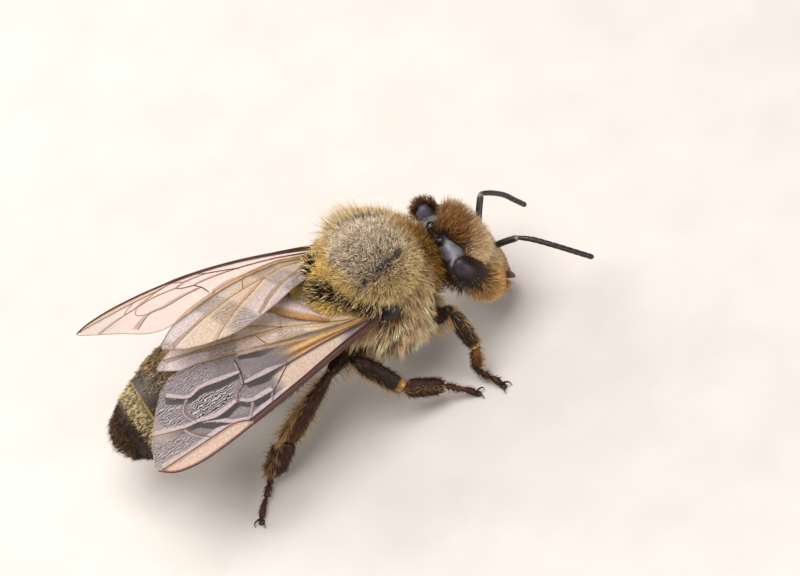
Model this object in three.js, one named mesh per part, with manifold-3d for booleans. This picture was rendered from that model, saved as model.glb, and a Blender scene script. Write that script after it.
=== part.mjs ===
// A worker honey bee at life size, standing still on six feet.
// Millimetres, +X towards the head, +Y to the bee's left, +Z up, floor at z = 0.
// Every solid gives the outline out to the tips of the hair. The body is laid out in its own frame,
// whose origin is the middle of the thorax, and then pitched and lifted into its stance.
import * as THREE from "three";
import { mergeVertices } from "three/addons/utils/BufferGeometryUtils.js";
import Module from "manifold-3d";

const wasm = await Module();
wasm.setup();
const { Manifold, Mesh } = wasm;

// ---------------------------------------------------------------- driving dimensions

const STAND_HEIGHT = 3.95; // middle of the thorax above the floor
const NOSE_UP = THREE.MathUtils.degToRad(7); // pitch of the thorax
const JOINT_GAP = 0.03; // clear space between neighbouring solids
const SIDES = { left: 1, right: -1 };
const UP = [0, 0, 1];

const THORAX_LOBES = [
  { centre: [0.2, 0, 0.15], radii: [2.0, 2.08, 2.03] }, // scutum
  { centre: [0.05, 0, -0.8], radii: [1.9, 2.2, 1.9] }, // pleura and sternum
  { centre: [-1.35, 0, 0.7], radii: [0.85, 1.3, 0.85] }, // scutellum
  { centre: [-1.25, 0, -0.45], radii: [1.05, 1.5, 1.35] }, // propodeum
];

// The head hangs from its vertex and leans its mouth forward. Its own frame starts at the vertex.
const VERTEX = [2.72, 0, -0.16];
const HEAD_LEAN = THREE.MathUtils.degToRad(17.5);
const HEAD_LOBES = [
  { centre: [0.05, 0, -1.25], radii: [1.0, 1.62, 1.65] }, // cranium
  { centre: [0.28, 0, -1.4], radii: [0.8, 1.2, 1.5] }, // face
  { centre: [0.2, 0, -2.7], radii: [0.78, 0.95, 0.95] }, // clypeus and labrum
  { centre: [-0.75, 0, -1.15], radii: [0.75, 0.75, 0.8] }, // neck and its ruff of hair
];
const EYE = { centre: [0.08, 1.44, -1.18], radii: [0.58, 0.46, 1.18] };
const MANDIBLE = { root: [0.15, 0.6, -3.2], tip: [0.02, 0.22, -3.85], radius: 0.25 };

const ANTENNA_RADIUS = 0.25;
const ANTENNAE = {
  left: {
    root: [3.75, 0.35, -1.9],
    elbow: [4.6, 1.06, -1.0],
    bow: [5.22, 1.4, -2.1],
    tip: [5.66, 1.58, -3.4],
  },
  right: {
    root: [3.75, -0.35, -1.9],
    elbow: [4.8, -0.94, -1.56],
    bow: [5.62, -1.68, -2.0],
    tip: [6.5, -2.32, -2.92],
  },
};

const ABDOMEN_AXIS = [
  [-1.9, 0, -0.45],
  [-4.0, 0, -0.2],
  [-6.5, 0, -0.02],
  [-10.08, 0, -0.12],
];
const ABDOMEN_RADII = [0.45, 1.45, 1.9, 2.08, 2.16, 2.16, 2.08, 1.8, 1.28, 0.2]; // evenly spaced
const ABDOMEN_ABOVE = 0.86; // height over half width, above the axis
const ABDOMEN_BELOW = 0.72; // and below it
const SEGMENT_ENDS = [0, 0.17, 0.39, 0.6, 0.79, 0.93, 1]; // hind margins, as shares of the length

const WING_THICKNESS = 0.5;
const WING_LENGTH = 8.95;
// Edges of each wing: distance along it from the root, then distance inward from the line that
// joins root and tip on the outer side.
const FOREWING = {
  front: [
    [0, -0.12], [1.6, -0.2], [3.4, -0.34], [5.2, -0.48], [6.6, -0.56], [7.7, -0.5], [8.5, -0.22], [8.95, 0.1],
  ],
  rear: [
    [0, 0.3], [1.5, 0.74], [3.2, 1.36], [4.8, 2.0], [6.1, 2.44], [6.9, 2.36], [7.6, 1.85], [8.4, 1.05],
    [8.95, 0.3],
  ],
};
const HINDWING = {
  front: [[0.6, 0.2], [1.6, 0.55], [3.2, 1.15], [4.8, 1.8], [5.9, 2.3], [6.7, 2.9]],
  rear: [[0.6, 1.1], [1.5, 2.1], [2.5, 2.85], [3.5, 3.4], [4.5, 3.75], [5.5, 3.8], [6.2, 3.55], [6.7, 3.1]],
};
// Each pair of wings is a roof. Its ridge runs at crest inward, lift above the front edge, and arch bows
// it lengthwise.
const WINGS = {
  right: { root: [-0.45, -2.0, 0.3], tip: [-9.17, -3.5, 1.82], lift: 0.75, crest: 4.0, arch: -0.02 },
  left: { root: [-0.45, 2.0, -0.05], tip: [-8.71, 2.9, 2.24], lift: 1.0, crest: 2.3, arch: 0.72 },
};

const TEGULA = { centre: [0.02, 1.98, 0.16], radii: [0.46, 0.24, 0.32] };

// Leg joints: the hip in the body's frame, the others in the stance, for the right side (y < 0).
const LEGS = {
  fore: {
    hip: [1.1, -0.6, -1.55],
    knee: [1.74, -2.33, 3.1],
    ankle: [1.95, -2.82, 1.4],
    heel: [1.66, -2.84, 0.42],
    toe: [2.11, -3.65, 0.16],
    thigh: 0.33, shin: 0.3, shinFlat: 1, metatarsus: 0.26, metatarsusFlat: 1,
  },
  mid: {
    hip: [-0.2, -0.75, -1.65],
    knee: [-1.86, -1.79, 2.9],
    ankle: [-0.77, -2.91, 1.5],
    heel: [0.46, -3.05, 0.75],
    toe: [1.23, -3.44, 0.14],
    thigh: 0.36, shin: 0.36, shinFlat: 0.75, metatarsus: 0.36, metatarsusFlat: 0.7,
  },
  hind: {
    hip: [-1.3, -0.75, -1.4],
    knee: [-2.68, -2.25, 3.3],
    ankle: [-5.04, -2.74, 1.9],
    heel: [-5.9, -2.52, 0.45],
    toe: [-6.9, -3.61, 0.16],
    thigh: 0.4, shin: 0.38, shinFlat: 0.68, metatarsus: 0.5, metatarsusFlat: 0.52,
  },
};
// How far each left foot and ankle stands ahead of the mirrored right one.
const LEFT_STEP = { fore: 0.25, mid: 0.3, hind: -0.3 };
const TOE_RADIUS = 0.25;
const PAD_SWELL = 0.06;
const CLAW_REACH = 0.42;

// ---------------------------------------------------------------- materials

const finish = (color, roughness) => new THREE.MeshStandardMaterial({ color, roughness, metalness: 0 });
const MATERIALS = {
  fur: finish(0x9c8a5e, 0.9),
  cuticle: finish(0x2e241a, 0.45),
  leg: finish(0x3a2413, 0.45),
  eye: finish(0x1c1216, 0.2),
  wing: finish(0xc9bfc4, 0.3),
  antenna: finish(0x2a201a, 0.55),
};

// ---------------------------------------------------------------- shapes

const vector = (xyz) => new THREE.Vector3(...xyz);
const onSide = ([x, y, z], side) => [x, y * side, z];

// A closed three.js geometry as a solid whose faces point out.
function solidOf(geometry) {
  geometry.deleteAttribute("normal");
  geometry.deleteAttribute("uv");
  const merged = mergeVertices(geometry, 1e-4);
  const corners = merged.index.array;
  const triangles = [];
  for (let i = 0; i < corners.length; i += 3) {
    const [a, b, c] = corners.slice(i, i + 3);
    if (a !== b && b !== c && a !== c) triangles.push([a, b, c]);
  }
  const vertProperties = Float32Array.from(merged.attributes.position.array);
  const build = (list) =>
    new Manifold(new Mesh({ numProp: 3, vertProperties, triVerts: Uint32Array.from(list.flat()) }));
  const solid = build(triangles);
  return solid.volume() > 0 ? solid : build(triangles.map(([a, b, c]) => [a, c, b]));
}

const union = (solids) => solids.reduce((whole, next) => whole.add(next));

// A solid cut back from its neighbours. Only the largest body is kept, so no offcut is left over.
function without(solid, cutters) {
  const rest = cutters.reduce((left, cutter) => left.subtract(cutter), solid);
  return rest.decompose().sort((a, b) => b.volume() - a.volume())[0];
}

function lobe({ centre, radii }, grow = 0, detail = 14) {
  const [rx, ry, rz] = radii.map((r) => r + grow);
  const ball = new THREE.SphereGeometry(1, detail, Math.round(detail * 0.65));
  ball.rotateX(Math.PI / 2).scale(rx, ry, rz).translate(...centre);
  return solidOf(ball);
}

// A lathe bent along a curve, with radiusAt(share) as its radius at each share of the length. shape gives
// how far it stretches sideways and upwards for a height above or below the curve.
function bentLathe(curve, radiusAt, { up, from = 0, to = 1, rings, sides, shape = () => [1, 1] }) {
  const profile = [new THREE.Vector2(0, from)];
  for (let i = 0; i <= rings; i++) {
    const share = from + ((to - from) * i) / rings;
    profile.push(new THREE.Vector2(Math.max(radiusAt(share), 0.02), share));
  }
  profile.push(new THREE.Vector2(0, to));
  const lathe = new THREE.LatheGeometry(profile, sides);
  const place = lathe.attributes.position;
  for (let i = 0; i < place.count; i++) {
    const share = THREE.MathUtils.clamp(place.getY(i), 0, 1);
    const ahead = curve.getTangentAt(share);
    const across = new THREE.Vector3().crossVectors(up, ahead).normalize();
    const over = new THREE.Vector3().crossVectors(ahead, across);
    const [wide, high] = shape(place.getZ(i));
    const point = curve.getPointAt(share);
    point.addScaledVector(across, place.getX(i) * wide).addScaledVector(over, place.getZ(i) * high);
    place.setXYZ(i, point.x, point.y, point.z);
  }
  return solidOf(lathe);
}

// A straight limb from one joint to the next, round or flattened, with its thickest part at bulge.
function limb(from, to, measures) {
  const { start, middle, end, bulge = 0.5, flat = 1, up = UP, grow = 0, sides = 8, rings = 5 } = measures;
  const line = new THREE.LineCurve3(vector(from), vector(to));
  const length = line.getLength();
  const rounding = Math.min(0.5, Math.max(start, end) / length);
  const swell = (t) => {
    const share = t < bulge ? t / bulge : (1 - t) / (1 - bulge);
    const rim = t < bulge ? start : end;
    return rim + (middle - rim) * Math.sin((share * Math.PI) / 2);
  };
  const cap = (t) => Math.sqrt(Math.min(1, Math.max(0.05, Math.min(t, 1 - t) / rounding)));
  return bentLathe(line, (t) => swell(t) * cap(t) + grow, {
    up: vector(up), rings, sides, shape: () => [1, flat],
  });
}

// ---------------------------------------------------------------- body, in its own frame

// Each function's grow widens the solid, to make the cutter that keeps a neighbour clear of it.
const thoraxSolid = (grow = 0) => union(THORAX_LOBES.map((part) => lobe(part, grow)));
const headFrame = new THREE.Matrix4()
  .makeTranslation(...VERTEX)
  .multiply(new THREE.Matrix4().makeRotationY(-HEAD_LEAN));
const inHead = (solid) => solid.transform(headFrame.toArray());
const headSolid = (grow = 0) => inHead(union(HEAD_LOBES.map((part) => lobe(part, grow))));
const sideLobe = ({ centre, radii }, side, grow = 0) =>
  lobe({ centre: onSide(centre, side), radii }, grow, 13);

const eyeSolid = (side, grow = 0) => inHead(sideLobe(EYE, side, grow));
const mandible = (side) =>
  inHead(
    limb(onSide(MANDIBLE.root, side), onSide(MANDIBLE.tip, side), {
      start: MANDIBLE.radius, middle: MANDIBLE.radius * 1.1, end: MANDIBLE.radius * 0.8,
    })
  );

const abdomenCurve = new THREE.CatmullRomCurve3(ABDOMEN_AXIS.map(vector));

// Half width of the abdomen at a share of its length, on a smooth curve through ABDOMEN_RADII.
function abdomenRadius(share) {
  const last = ABDOMEN_RADII.length - 1;
  const place = THREE.MathUtils.clamp(share, 0, 1) * last;
  const i = Math.min(Math.floor(place), last - 1);
  const at = (k) => ABDOMEN_RADII[THREE.MathUtils.clamp(k, 0, last)];
  const t = place - i;
  const [a, b, c, d] = [at(i - 1), at(i), at(i + 1), at(i + 2)];
  return b + 0.5 * t * (c - a + t * (2 * a - 5 * b + 4 * c - d + t * (3 * (b - c) + d - a)));
}

function abdomenSegment(index, grow = 0) {
  const shareGap = JOINT_GAP / 2 / abdomenCurve.getLength();
  const from = SEGMENT_ENDS[index] + (index > 0 ? shareGap : 0);
  const to = SEGMENT_ENDS[index + 1] - (index < SEGMENT_ENDS.length - 2 ? shareGap : 0);
  return bentLathe(abdomenCurve, (share) => abdomenRadius(share) + grow, {
    up: vector(UP),
    from,
    to,
    rings: 3,
    sides: 16,
    shape: (z) => [1, z > 0 ? ABDOMEN_ABOVE : ABDOMEN_BELOW],
  });
}

// ---------------------------------------------------------------- wings

// A point of a pair of wings: along from root to tip, inward to the midline, height off the surface.
function wingPoint({ root, tip, lift, crest, arch }, side, along, inward, height) {
  const axis = vector(tip).sub(vector(root)).normalize();
  const across = new THREE.Vector3(0, -side, 0).addScaledVector(axis, axis.y * side).normalize();
  const over = new THREE.Vector3().crossVectors(axis, across).multiplyScalar(side);
  const roof = Math.sin((Math.PI / 2) * THREE.MathUtils.clamp(inward / crest, -0.5, 1.9));
  const bow = Math.sin(Math.PI * THREE.MathUtils.clamp(along / WING_LENGTH, 0, 1));
  const rise = lift * roof * Math.min(1, 0.35 + along / 3) + arch * bow;
  return vector(root)
    .addScaledVector(axis, along)
    .addScaledVector(across, inward)
    .addScaledVector(over, rise + height);
}

const edgeCurve = (points) => new THREE.SplineCurve(points.map(([a, b]) => new THREE.Vector2(a, b)));

// A plate between two edges; grow widens it and lets a cutter reach well above and below.
function wingPlate({ front, rear }, wing, side, grow = 0) {
  const [lead, trail] = [edgeCurve(front), edgeCurve(rear)];
  const plate = new THREE.BoxGeometry(1, 1, 1, 11, 4, 1);
  const place = plate.attributes.position;
  const half = WING_THICKNESS / 2 + (grow > 0 ? 0.4 : 0);
  for (let i = 0; i < place.count; i++) {
    const across = place.getY(i) + 0.5;
    const spot = lead.getPoint(place.getX(i) + 0.5).lerp(trail.getPoint(place.getX(i) + 0.5), across);
    const inward = spot.y + 2 * grow * place.getY(i);
    const point = wingPoint(wing, side, spot.x, inward, 2 * half * place.getZ(i));
    place.setXYZ(i, point.x, point.y, point.z);
  }
  return solidOf(plate);
}

// ---------------------------------------------------------------- antennae

function antenna({ root, elbow, bow, tip }) {
  const line = (points) => new THREE.CatmullRomCurve3(points.map(vector));
  const round = (share) => Math.sqrt(Math.min(1, Math.max(0.08, Math.min(share, 1 - share) * 8)));
  const up = new THREE.Vector3(0.2, 0.1, 1);
  const tube = (curve, radius, rings) =>
    bentLathe(curve, (share) => radius * round(share), { up, rings, sides: 7 });
  const knuckle = (radius) => lobe({ centre: elbow, radii: [radius, radius, radius] }, 0, 8);
  return {
    scape: tube(line([root, elbow]), ANTENNA_RADIUS * 1.1, 5).add(knuckle(ANTENNA_RADIUS * 1.2)),
    flagellum: tube(line([elbow, bow, tip]), ANTENNA_RADIUS, 9),
    elbowGap: knuckle(ANTENNA_RADIUS * 1.2 + JOINT_GAP),
  };
}

// ---------------------------------------------------------------- legs, in the stance

// Lifts the body's frame to its height and pitches its nose up.
const stance = new THREE.Matrix4()
  .makeTranslation(0, 0, STAND_HEIGHT)
  .multiply(new THREE.Matrix4().makeRotationY(-NOSE_UP));
const inStance = (xyz) => vector(xyz).applyMatrix4(stance).toArray();
const lifted = (solid) => solid.transform(stance.toArray());

function legJoints(leg, side, step) {
  const shifted = (xyz, share) => [xyz[0] + step * share, xyz[1] * -side, xyz[2]];
  return {
    hip: inStance(onSide(leg.hip, -side)),
    knee: shifted(leg.knee, 0.3),
    ankle: shifted(leg.ankle, 0.8),
    heel: shifted(leg.heel, 1),
    toe: shifted(leg.toe, 1),
  };
}

// The short toe joints swell towards their ends, and the last one into the foot's pad.
const toeRadius = (share) =>
  TOE_RADIUS * (0.92 + 0.16 * ((share * 4) % 1)) + (share > 0.85 ? PAD_SWELL : 0);

function legSolids(leg, side, step) {
  const { hip, knee, ankle, heel, toe } = legJoints(leg, side, step);
  const outward = [0, side, 0.35];
  const floor = solidOf(new THREE.BoxGeometry(60, 60, 10).translate(0, 0, -5));
  const thigh = (grow = 0) =>
    union([
      lobe({ centre: hip, radii: [0.42, 0.5, 0.6] }, grow, 8),
      limb(hip, knee, { start: 0.27, middle: leg.thigh, end: 0.28, bulge: 0.45, grow }),
    ]);
  const shin = (grow = 0) =>
    limb(knee, ankle, {
      start: 0.26, middle: leg.shin, end: leg.shin * 0.9, bulge: 0.8, flat: leg.shinFlat, up: outward, grow,
    });
  const heading = Math.atan2(toe[1] - heel[1], toe[0] - heel[0]);
  const clawTip = (spread) => [
    toe[0] + CLAW_REACH * Math.cos(heading + spread),
    toe[1] + CLAW_REACH * Math.sin(heading + spread),
    toe[2] - 0.02,
  ];
  const foot = union([
    limb(ankle, heel, {
      start: 0.26, middle: leg.metatarsus, end: leg.metatarsus * 0.8, flat: leg.metatarsusFlat, up: outward,
    }),
    bentLathe(new THREE.LineCurve3(vector(heel), vector(toe)), toeRadius, {
      up: vector(outward), rings: 7, sides: 7,
    }),
    ...[0.6, -0.6].map((spread) =>
      limb(toe, clawTip(spread), { start: 0.25, middle: 0.25, end: 0.2, sides: 5, rings: 2 })
    ),
  ]);
  return {
    reach: thigh(JOINT_GAP),
    femur: thigh(),
    tibia: without(shin(), [thigh(JOINT_GAP)]),
    tarsus: without(foot, [shin(JOINT_GAP), floor]),
  };
}

// ---------------------------------------------------------------- the whole bee

const bee = new THREE.Group();

// Adds a solid as a named mesh whose own origin is the middle of its box.
function addNode(name, solid, material) {
  const { vertProperties, triVerts } = solid.getMesh();
  const geometry = new THREE.BufferGeometry()
    .setAttribute("position", new THREE.BufferAttribute(vertProperties, 3))
    .setIndex(new THREE.BufferAttribute(triVerts, 1));
  geometry.computeBoundingBox();
  const pivot = geometry.boundingBox.getCenter(new THREE.Vector3());
  geometry.translate(-pivot.x, -pivot.y, -pivot.z).computeVertexNormals();
  const mesh = new THREE.Mesh(geometry, material);
  mesh.name = name;
  mesh.position.copy(pivot);
  bee.add(mesh);
}

const grownThorax = thoraxSolid(JOINT_GAP);
const grownHead = headSolid(JOINT_GAP);
const grownEyes = Object.values(SIDES).map((side) => eyeSolid(side, JOINT_GAP));

addNode("thorax", lifted(thoraxSolid()), MATERIALS.fur);
addNode("head", lifted(without(headSolid(), [grownThorax, ...grownEyes])), MATERIALS.fur);

for (const [name, side] of Object.entries(SIDES)) {
  addNode(`eye_${name}`, lifted(without(eyeSolid(side), [grownThorax])), MATERIALS.eye);
  addNode(`mandible_${name}`, lifted(without(mandible(side), [grownHead])), MATERIALS.cuticle);
  const { scape, flagellum, elbowGap } = antenna(ANTENNAE[name]);
  addNode(`antenna_${name}_scape`, lifted(without(scape, [grownHead])), MATERIALS.antenna);
  addNode(`antenna_${name}_flagellum`, lifted(without(flagellum, [elbowGap, scape])), MATERIALS.antenna);
}

for (let i = 0; i < SEGMENT_ENDS.length - 1; i++) {
  const segment = i === 0 ? without(abdomenSegment(i), [grownThorax]) : abdomenSegment(i);
  addNode(`abdomen_segment_${i + 1}`, lifted(segment), MATERIALS.cuticle);
}

const grownAbdomen = SEGMENT_ENDS.slice(1).map((_, i) => abdomenSegment(i, JOINT_GAP));
for (const [name, side] of Object.entries(SIDES)) {
  const tegula = without(sideLobe(TEGULA, side), [grownThorax]);
  addNode(`tegula_${name}`, lifted(tegula), MATERIALS.cuticle);
  const grownTegula = sideLobe(TEGULA, side, JOINT_GAP);
  const outlines = { forewing: FOREWING, hindwing: HINDWING };
  for (const [kind, outline] of Object.entries(outlines)) {
    const blade = wingPlate(outline, WINGS[name], side);
    const cutters = [grownThorax, grownTegula, ...grownAbdomen];
    if (kind === "hindwing") cutters.push(wingPlate(FOREWING, WINGS[name], side, JOINT_GAP));
    addNode(`${kind}_${name}`, lifted(without(blade, cutters)), MATERIALS.wing);
  }
}

const bodyCutters = [grownThorax, grownHead, ...grownAbdomen].map(lifted);
const placedThighs = [];
for (const [name, side] of Object.entries(SIDES)) {
  for (const [pair, leg] of Object.entries(LEGS)) {
    const step = name === "left" ? LEFT_STEP[pair] : 0;
    const { reach, femur, tibia, tarsus } = legSolids(leg, side, step);
    const title = `leg_${pair}_${name}`;
    addNode(`${title}_femur`, without(femur, [...bodyCutters, ...placedThighs]), MATERIALS.leg);
    addNode(`${title}_tibia`, without(tibia, bodyCutters), MATERIALS.leg);
    addNode(`${title}_tarsus`, tarsus, MATERIALS.leg);
    placedThighs.push(reach);
  }
}

// The frame's origin is on the floor, under the middle of the whole bee's box.
const box = new THREE.Box3().setFromObject(bee);
const middle = box.getCenter(new THREE.Vector3());
bee.position.set(-middle.x, -middle.y, -box.min.z);

export default bee;
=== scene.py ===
"""A worker honey bee at life size, standing on a pale floor.

Shapes are laid out in millimetres and turned into metres when their mesh is made. Three frames are used:
the row frame (floor at z = 0), the body frame (origin in the middle of the thorax, x forward, y left, z up)
and the head frame (origin at the vertex of the head).
"""

import math

import bpy
import numpy as np
import openvdb
from mathutils import Matrix, kdtree


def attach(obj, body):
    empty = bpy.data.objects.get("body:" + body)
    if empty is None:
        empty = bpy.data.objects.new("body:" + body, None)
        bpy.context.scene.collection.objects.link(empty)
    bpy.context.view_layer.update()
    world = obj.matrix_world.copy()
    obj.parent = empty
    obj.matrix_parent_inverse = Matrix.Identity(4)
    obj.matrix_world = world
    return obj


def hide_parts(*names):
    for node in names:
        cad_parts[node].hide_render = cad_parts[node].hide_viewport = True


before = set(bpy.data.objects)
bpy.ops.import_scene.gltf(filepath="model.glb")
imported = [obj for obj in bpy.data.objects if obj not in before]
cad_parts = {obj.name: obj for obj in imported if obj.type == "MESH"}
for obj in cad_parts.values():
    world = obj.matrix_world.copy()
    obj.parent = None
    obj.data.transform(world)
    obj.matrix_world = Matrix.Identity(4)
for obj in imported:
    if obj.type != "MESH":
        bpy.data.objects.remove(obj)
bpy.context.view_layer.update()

# ---- frames

MM = 0.001
STAND_HEIGHT = 3.95
NOSE_UP = math.radians(7)
FRAME_SHIFT = np.array([1.5792, 0, 0])
VERTEX = np.array([2.72, 0, -0.16])
HEAD_LEAN = math.radians(17.5)
SIDES = {"left": 1, "right": -1}


def pitch(angle):
    c, s = math.cos(angle), math.sin(angle)
    return np.array([[c, 0, -s], [0, 1, 0], [s, 0, c]])


BODY_TURN = pitch(NOSE_UP)
HEAD_TURN = pitch(HEAD_LEAN)


def stance_to_row(points):
    return np.asarray(points, float) + FRAME_SHIFT


def body_to_row(points):
    return stance_to_row(np.asarray(points, float) @ BODY_TURN.T + (0, 0, STAND_HEIGHT))


def row_to_body(points):
    return (np.asarray(points, float) - FRAME_SHIFT - (0, 0, STAND_HEIGHT)) @ BODY_TURN


def head_to_body(points):
    return np.asarray(points, float) @ HEAD_TURN.T + VERTEX


def body_to_head(points):
    return (np.asarray(points, float) - VERTEX) @ HEAD_TURN


def unit(vectors):
    vectors = np.asarray(vectors, float)
    return vectors / np.maximum(np.linalg.norm(vectors, axis=-1, keepdims=True), 1e-9)


def linear(rgb):
    """Linear colour of an sRGB one given as 0 to 255."""
    c = np.asarray(rgb, float) / 255
    return np.where(c <= 0.04045, c / 12.92, ((c + 0.055) / 1.055) ** 2.4)


def ramp(x, low, high):
    """0 below low, 1 above high, smooth between."""
    t = np.clip((np.asarray(x, float) - low) / (high - low), 0, 1)
    return t * t * (3 - 2 * t)


def fall(x, start, end):
    """1 below start, 0 above end, smooth between."""
    return 1 - ramp(x, start, end)


def mix(a, b, share):
    share = np.asarray(share, float)[..., None]
    return np.asarray(a, float) * (1 - share) + np.asarray(b, float) * share


def paint(ground, *layers):
    """A colour with layers over it, each an sRGB colour and its share."""
    if isinstance(ground, tuple):
        ground = linear(ground)
    for rgb, share in layers:
        ground = mix(ground, linear(rgb), share)
    return ground


# ---- camera

VIEW_ELEVATION = math.radians(50)
VIEW_ROLL = math.radians(34)
VIEW_DISTANCE = 250.0
PIXELS_PER_MM = 30.5
PICTURE_WIDTH = 800
SENSOR_WIDTH = 36
AIM_OFFSET = (1.06, -0.40)


def set_in_scene(name, data, right, up, back, place):
    """A camera or a light in the scene, with its own axes; place is in millimetres."""
    thing = bpy.data.objects.new(name, data)
    bpy.context.collection.objects.link(thing)
    matrix = Matrix.Identity(4)
    for i, column in enumerate((right, up, back, place * MM)):
        for j in range(3):
            matrix[j][i] = column[j]
    thing.matrix_world = matrix
    return thing


def place_camera():
    """The bee is seen from its right and above, and the camera is rolled."""
    level = np.array([0, math.sin(VIEW_ELEVATION), math.cos(VIEW_ELEVATION)])
    forward = np.array([1.0, 0, 0])
    right = BODY_TURN @ (math.cos(VIEW_ROLL) * forward - math.sin(VIEW_ROLL) * level)
    up = BODY_TURN @ (math.sin(VIEW_ROLL) * forward + math.cos(VIEW_ROLL) * level)
    sight = BODY_TURN @ np.array([0, math.cos(VIEW_ELEVATION), -math.sin(VIEW_ELEVATION)])
    aim = body_to_row((0, 0, 0)) + AIM_OFFSET[0] * right + AIM_OFFSET[1] * up
    data = bpy.data.cameras.new("camera")
    data.sensor_width = SENSOR_WIDTH
    data.lens = VIEW_DISTANCE * SENSOR_WIDTH * PIXELS_PER_MM / PICTURE_WIDTH
    data.clip_start = 0.01
    data.clip_end = 10
    bpy.context.scene.camera = set_in_scene("camera", data, right, up, -sight,
                                            aim - VIEW_DISTANCE * sight)


place_camera()

# ---- materials


class Shader:
    """A Principled material built up node by node; _ in an input's name stands for a space."""

    def __init__(self, name, **values):
        self.material = bpy.data.materials.new(name)
        self.material.use_nodes = True
        self.tree = self.material.node_tree
        self.principled = self.tree.nodes["Principled BSDF"]
        for key, value in values.items():
            self.principled.inputs[key.replace("_", " ")].default_value = value

    def node(self, kind, **values):
        made = self.tree.nodes.new(kind)
        for key, value in values.items():
            spaced = key.replace("_", " ")
            if spaced in made.inputs:
                made.inputs[spaced].default_value = value
            else:
                setattr(made, key, value)
        return made

    def link(self, start, end):
        self.tree.links.new(start, end)

    def set(self, name, socket):
        self.link(socket, self.principled.inputs[name])

    def texture(self, kind, scale, **values):
        """A procedural pattern on the object's own coordinates, with scale in repeats per millimetre."""
        coordinates = self.node("ShaderNodeTexCoord")
        pattern = self.node(kind, Scale=scale / MM, **values)
        self.link(coordinates.outputs["Object"], pattern.inputs["Vector"])
        return pattern

    def attribute(self, name, output="Fac"):
        return self.node("ShaderNodeAttribute", attribute_name=name).outputs[output]

    def colours(self, pattern, low, low_rgb, high, high_rgb):
        """A pattern coloured from one sRGB colour at low to another at high."""
        made = self.node("ShaderNodeValToRGB")
        for element, place, rgb in zip(made.color_ramp.elements, (low, high), (low_rgb, high_rgb)):
            element.position = place
            element.color = (*linear(rgb), 1)
        self.link(pattern.outputs["Fac"], made.inputs["Fac"])
        return made.outputs["Color"]

    def multiply(self, a, b, share=None):
        made = self.node("ShaderNodeMix", data_type="RGBA", blend_type="MULTIPLY")
        made.inputs[0].default_value = 1.0
        for place, socket in ((0, share), (6, a), (7, b)):
            if socket is not None:
                self.link(socket, made.inputs[place])
        return made.outputs[2]

    def tinted(self, shade):
        """The piece's own painted tint, darkened by a shade."""
        return self.multiply(self.attribute("tint", "Color"), shade)

    def bump(self, height, depth, strength=1.0):
        """Bump of depth millimetres, added over whatever bump is there already."""
        made = self.node("ShaderNodeBump", Strength=strength, Distance=depth * MM)
        self.link(height, made.inputs["Height"])
        before = self.principled.inputs["Normal"].links
        if before:
            self.link(before[0].from_socket, made.inputs["Normal"])
        self.set("Normal", made.outputs["Normal"])


WHITE = (255, 255, 255)


def hair_material(name, roughness):
    shader = Shader(name, Roughness=roughness, Specular_IOR_Level=0.18)
    cloud = shader.texture("ShaderNodeTexNoise", 2.5, Detail=2.0)
    shader.set("Base Color", shader.tinted(shader.colours(cloud, 0.3, (215, 215, 215), 0.7, WHITE)))
    return shader.material


def cuticle_material(name, roughness, grain=22.0, depth=0.006, gloss=0.5):
    """Hard shell: its painted tint, mottled and finely pitted."""
    shader = Shader(name, Specular_IOR_Level=gloss)
    mottle = shader.texture("ShaderNodeTexNoise", 3.0, Detail=4.0)
    shader.set("Base Color", shader.tinted(shader.colours(mottle, 0.35, (190, 186, 186), 0.65, WHITE)))
    pits = shader.texture("ShaderNodeTexVoronoi", grain)
    shader.bump(pits.outputs["Distance"], depth)
    shader.bump(mottle.outputs["Fac"], 0.01)
    spread = shader.node("ShaderNodeMapRange", From_Min=0.3, From_Max=0.7, To_Min=roughness - 0.08,
                         To_Max=roughness + 0.1)
    shader.link(mottle.outputs["Fac"], spread.inputs["Value"])
    shader.set("Roughness", spread.outputs["Result"])
    return shader.material


def eye_material():
    """Near-black purple-brown facets under a soft gloss."""
    shader = Shader("eye", Roughness=0.34, Specular_IOR_Level=0.22)
    facets = shader.texture("ShaderNodeTexVoronoi", 38.0, Randomness=0.25)
    drift = shader.texture("ShaderNodeTexNoise", 1.2, Detail=2.0)
    shader.set("Base Color", shader.tinted(shader.colours(drift, 0.35, (170, 170, 170), 0.65, WHITE)))
    shader.bump(facets.outputs["Distance"], 0.004, 0.8)
    return shader.material


def wing_material():
    """Membrane: glossy where its veil is thick, see-through where thin, with fine wrinkles."""
    shader = Shader("wing_membrane", Roughness=0.38, Specular_IOR_Level=0.25)
    spot = shader.attribute("spot", "Vector")
    wrinkle = shader.attribute("wrinkle")
    lines = shader.node("ShaderNodeTexWave", bands_direction="Y", Scale=3.8, Distortion=9.0, Detail=2.5,
                        Detail_Scale=1.4)
    grains = shader.node("ShaderNodeTexNoise", Scale=11.0, Detail=3.0, Roughness=0.65)
    for pattern in (lines, grains):
        shader.link(spot, pattern.inputs["Vector"])
    zebra = shader.colours(lines, 0.36, (66, 58, 54), 0.66, WHITE)
    tint = shader.tinted(shader.colours(grains, 0.35, (220, 217, 220), 0.62, WHITE))
    shader.set("Base Color", shader.multiply(tint, zebra, wrinkle))
    raised = shader.node("ShaderNodeMath", operation="MULTIPLY")
    shader.link(lines.outputs["Fac"], raised.inputs[0])
    shader.link(wrinkle, raised.inputs[1])
    shader.bump(raised.outputs["Value"], 0.012)
    shader.bump(grains.outputs["Fac"], 0.01)
    clear = shader.node("ShaderNodeBsdfTransparent")
    blend = shader.node("ShaderNodeMixShader")
    for socket, place in ((shader.attribute("veil"), 0), (clear.outputs[0], 1), (shader.principled.outputs[0], 2)):
        shader.link(socket, blend.inputs[place])
    shader.link(blend.outputs[0], shader.tree.nodes["Material Output"].inputs["Surface"])
    return shader.material


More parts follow.
